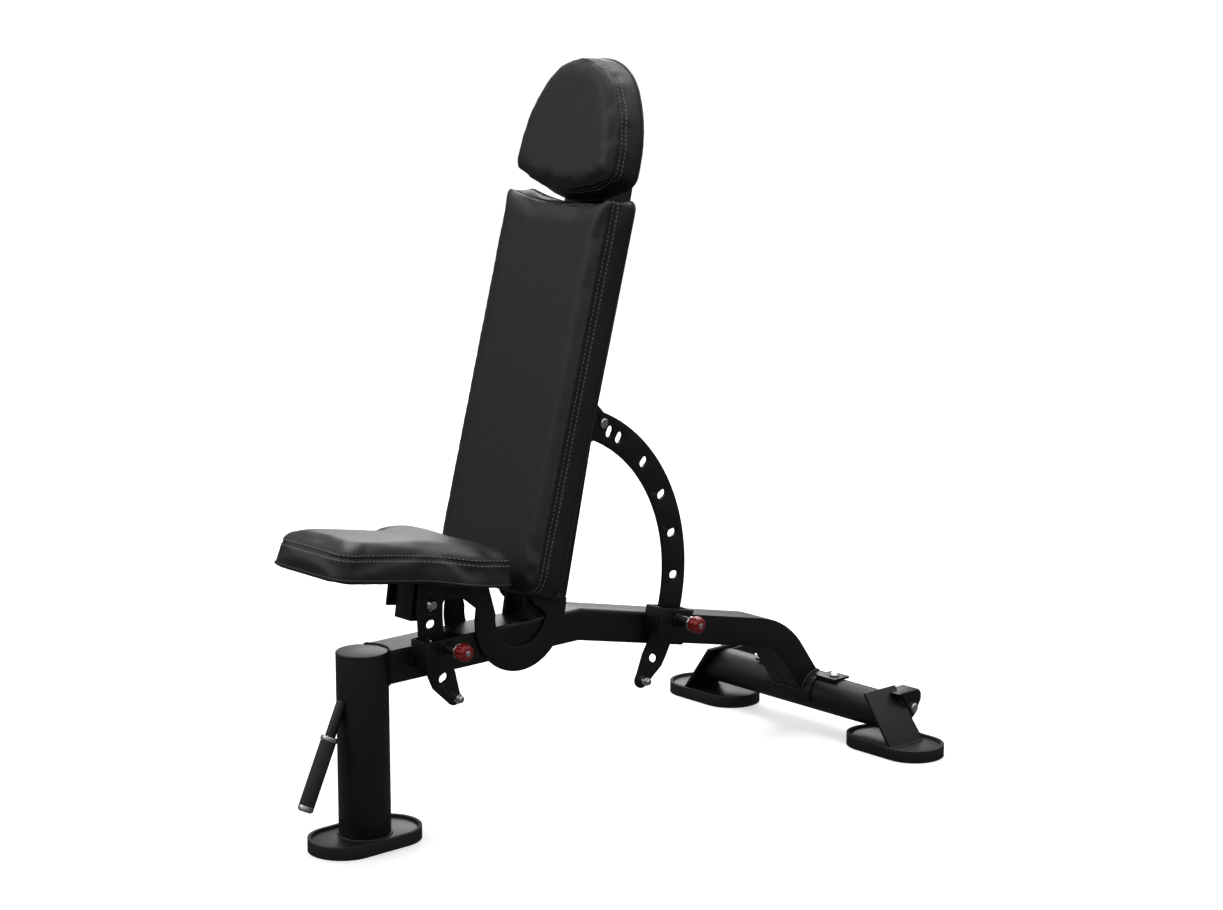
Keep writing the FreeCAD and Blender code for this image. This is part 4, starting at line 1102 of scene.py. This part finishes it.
def add_lights(scene):
    """Large soft boxes under a pale dome that is brighter overhead."""
    target = Vector((0, 0, 0.55))
    for name, place, size, watts in SOFTBOXES:
        lamp = bpy.data.lights.new(name, "AREA")
        lamp.size = size
        lamp.energy = watts
        thing = bpy.data.objects.new(name, lamp)
        thing.location = place
        thing.rotation_euler = (target - Vector(place)).to_track_quat("-Z", "Y").to_euler()
        scene.collection.objects.link(thing)
    world = bpy.data.worlds.new("dome")
    world.use_nodes = True
    scene.world = world
    nodes, links = world.node_tree.nodes, world.node_tree.links
    sky = nodes["Background"]
    split = nodes.new("ShaderNodeSeparateXYZ")
    links.new(nodes.new("ShaderNodeTexCoord").outputs["Generated"], split.inputs[0])
    ramp = nodes.new("ShaderNodeValToRGB")
    for element, (place, level) in zip(ramp.color_ramp.elements, ((0.05, 0.10), (0.95, 1.0))):
        element.position = place
        element.color = (level, level, level, 1.0)
    links.new(split.outputs[2], ramp.inputs[0])
    seen = nodes.new("ShaderNodeLightPath")
    mix = nodes.new("ShaderNodeMix")
    mix.data_type = "RGBA"
    mix.inputs[7].default_value = (1.0, 1.0, 1.0, 1.0)
    links.new(seen.outputs["Is Camera Ray"], mix.inputs[0])
    links.new(ramp.outputs[0], mix.inputs[6])
    links.new(mix.outputs[2], sky.inputs["Color"])
    sky.inputs["Strength"].default_value = 1.0
    scene.view_settings.view_transform = "Standard"


def add_camera(scene):
    lens = bpy.data.cameras.new("camera")
    lens.sensor_fit = "HORIZONTAL"
    lens.sensor_width = 36.0
    lens.lens = CAMERA_LENS
    lens.clip_end = 200.0
    camera = bpy.data.objects.new("camera", lens)
    camera.location = CAMERA_PLACE
    camera.rotation_euler = (math.radians(90 - CAMERA_PITCH), 0, math.radians(CAMERA_AZIMUTH))
    scene.collection.objects.link(camera)
    scene.camera = camera


class BENCH_PT_panel(bpy.types.Panel):
    """The bench's tools and settings"""
    bl_idname = "BENCH_PT_panel"
    bl_label = "Weight bench"
    bl_space_type = "VIEW_3D"
    bl_region_type = "UI"
    bl_category = "Bench"

    def draw(self, context):
        for operator in OPERATORS:
            self.layout.operator(operator.bl_idname)
        for group in GROUPS:
            settings = getattr(context.scene, group)
            for name in settings.bl_rna.properties.keys():
                if name not in ("rna_type", "name"):
                    self.layout.prop(settings, name)


OPERATORS = [BENCH_OT_finishes, BENCH_OT_steelwork, BENCH_OT_cushions, BENCH_OT_knobs, BENCH_OT_welds,
             BENCH_OT_stage]
GROUPS = {"bench_cushion": CushionSettings, "bench_fitting": FittingSettings,
          "bench_finish": FinishSettings}
CLASSES = [*GROUPS.values(), *OPERATORS, BENCH_PT_panel]


def register():
    for kind in CLASSES:
        bpy.utils.register_class(kind)
    for name, kind in GROUPS.items():
        setattr(bpy.types.Scene, name, PointerProperty(type=kind))


def unregister():
    for name in GROUPS:
        delattr(bpy.types.Scene, name)
    for kind in reversed(CLASSES):
        bpy.utils.unregister_class(kind)


def main():
    register()
    for operator in OPERATORS:
        group, name = operator.bl_idname.split(".")
        getattr(getattr(bpy.ops, group), name)()


if __name__ == "__main__":
    main()
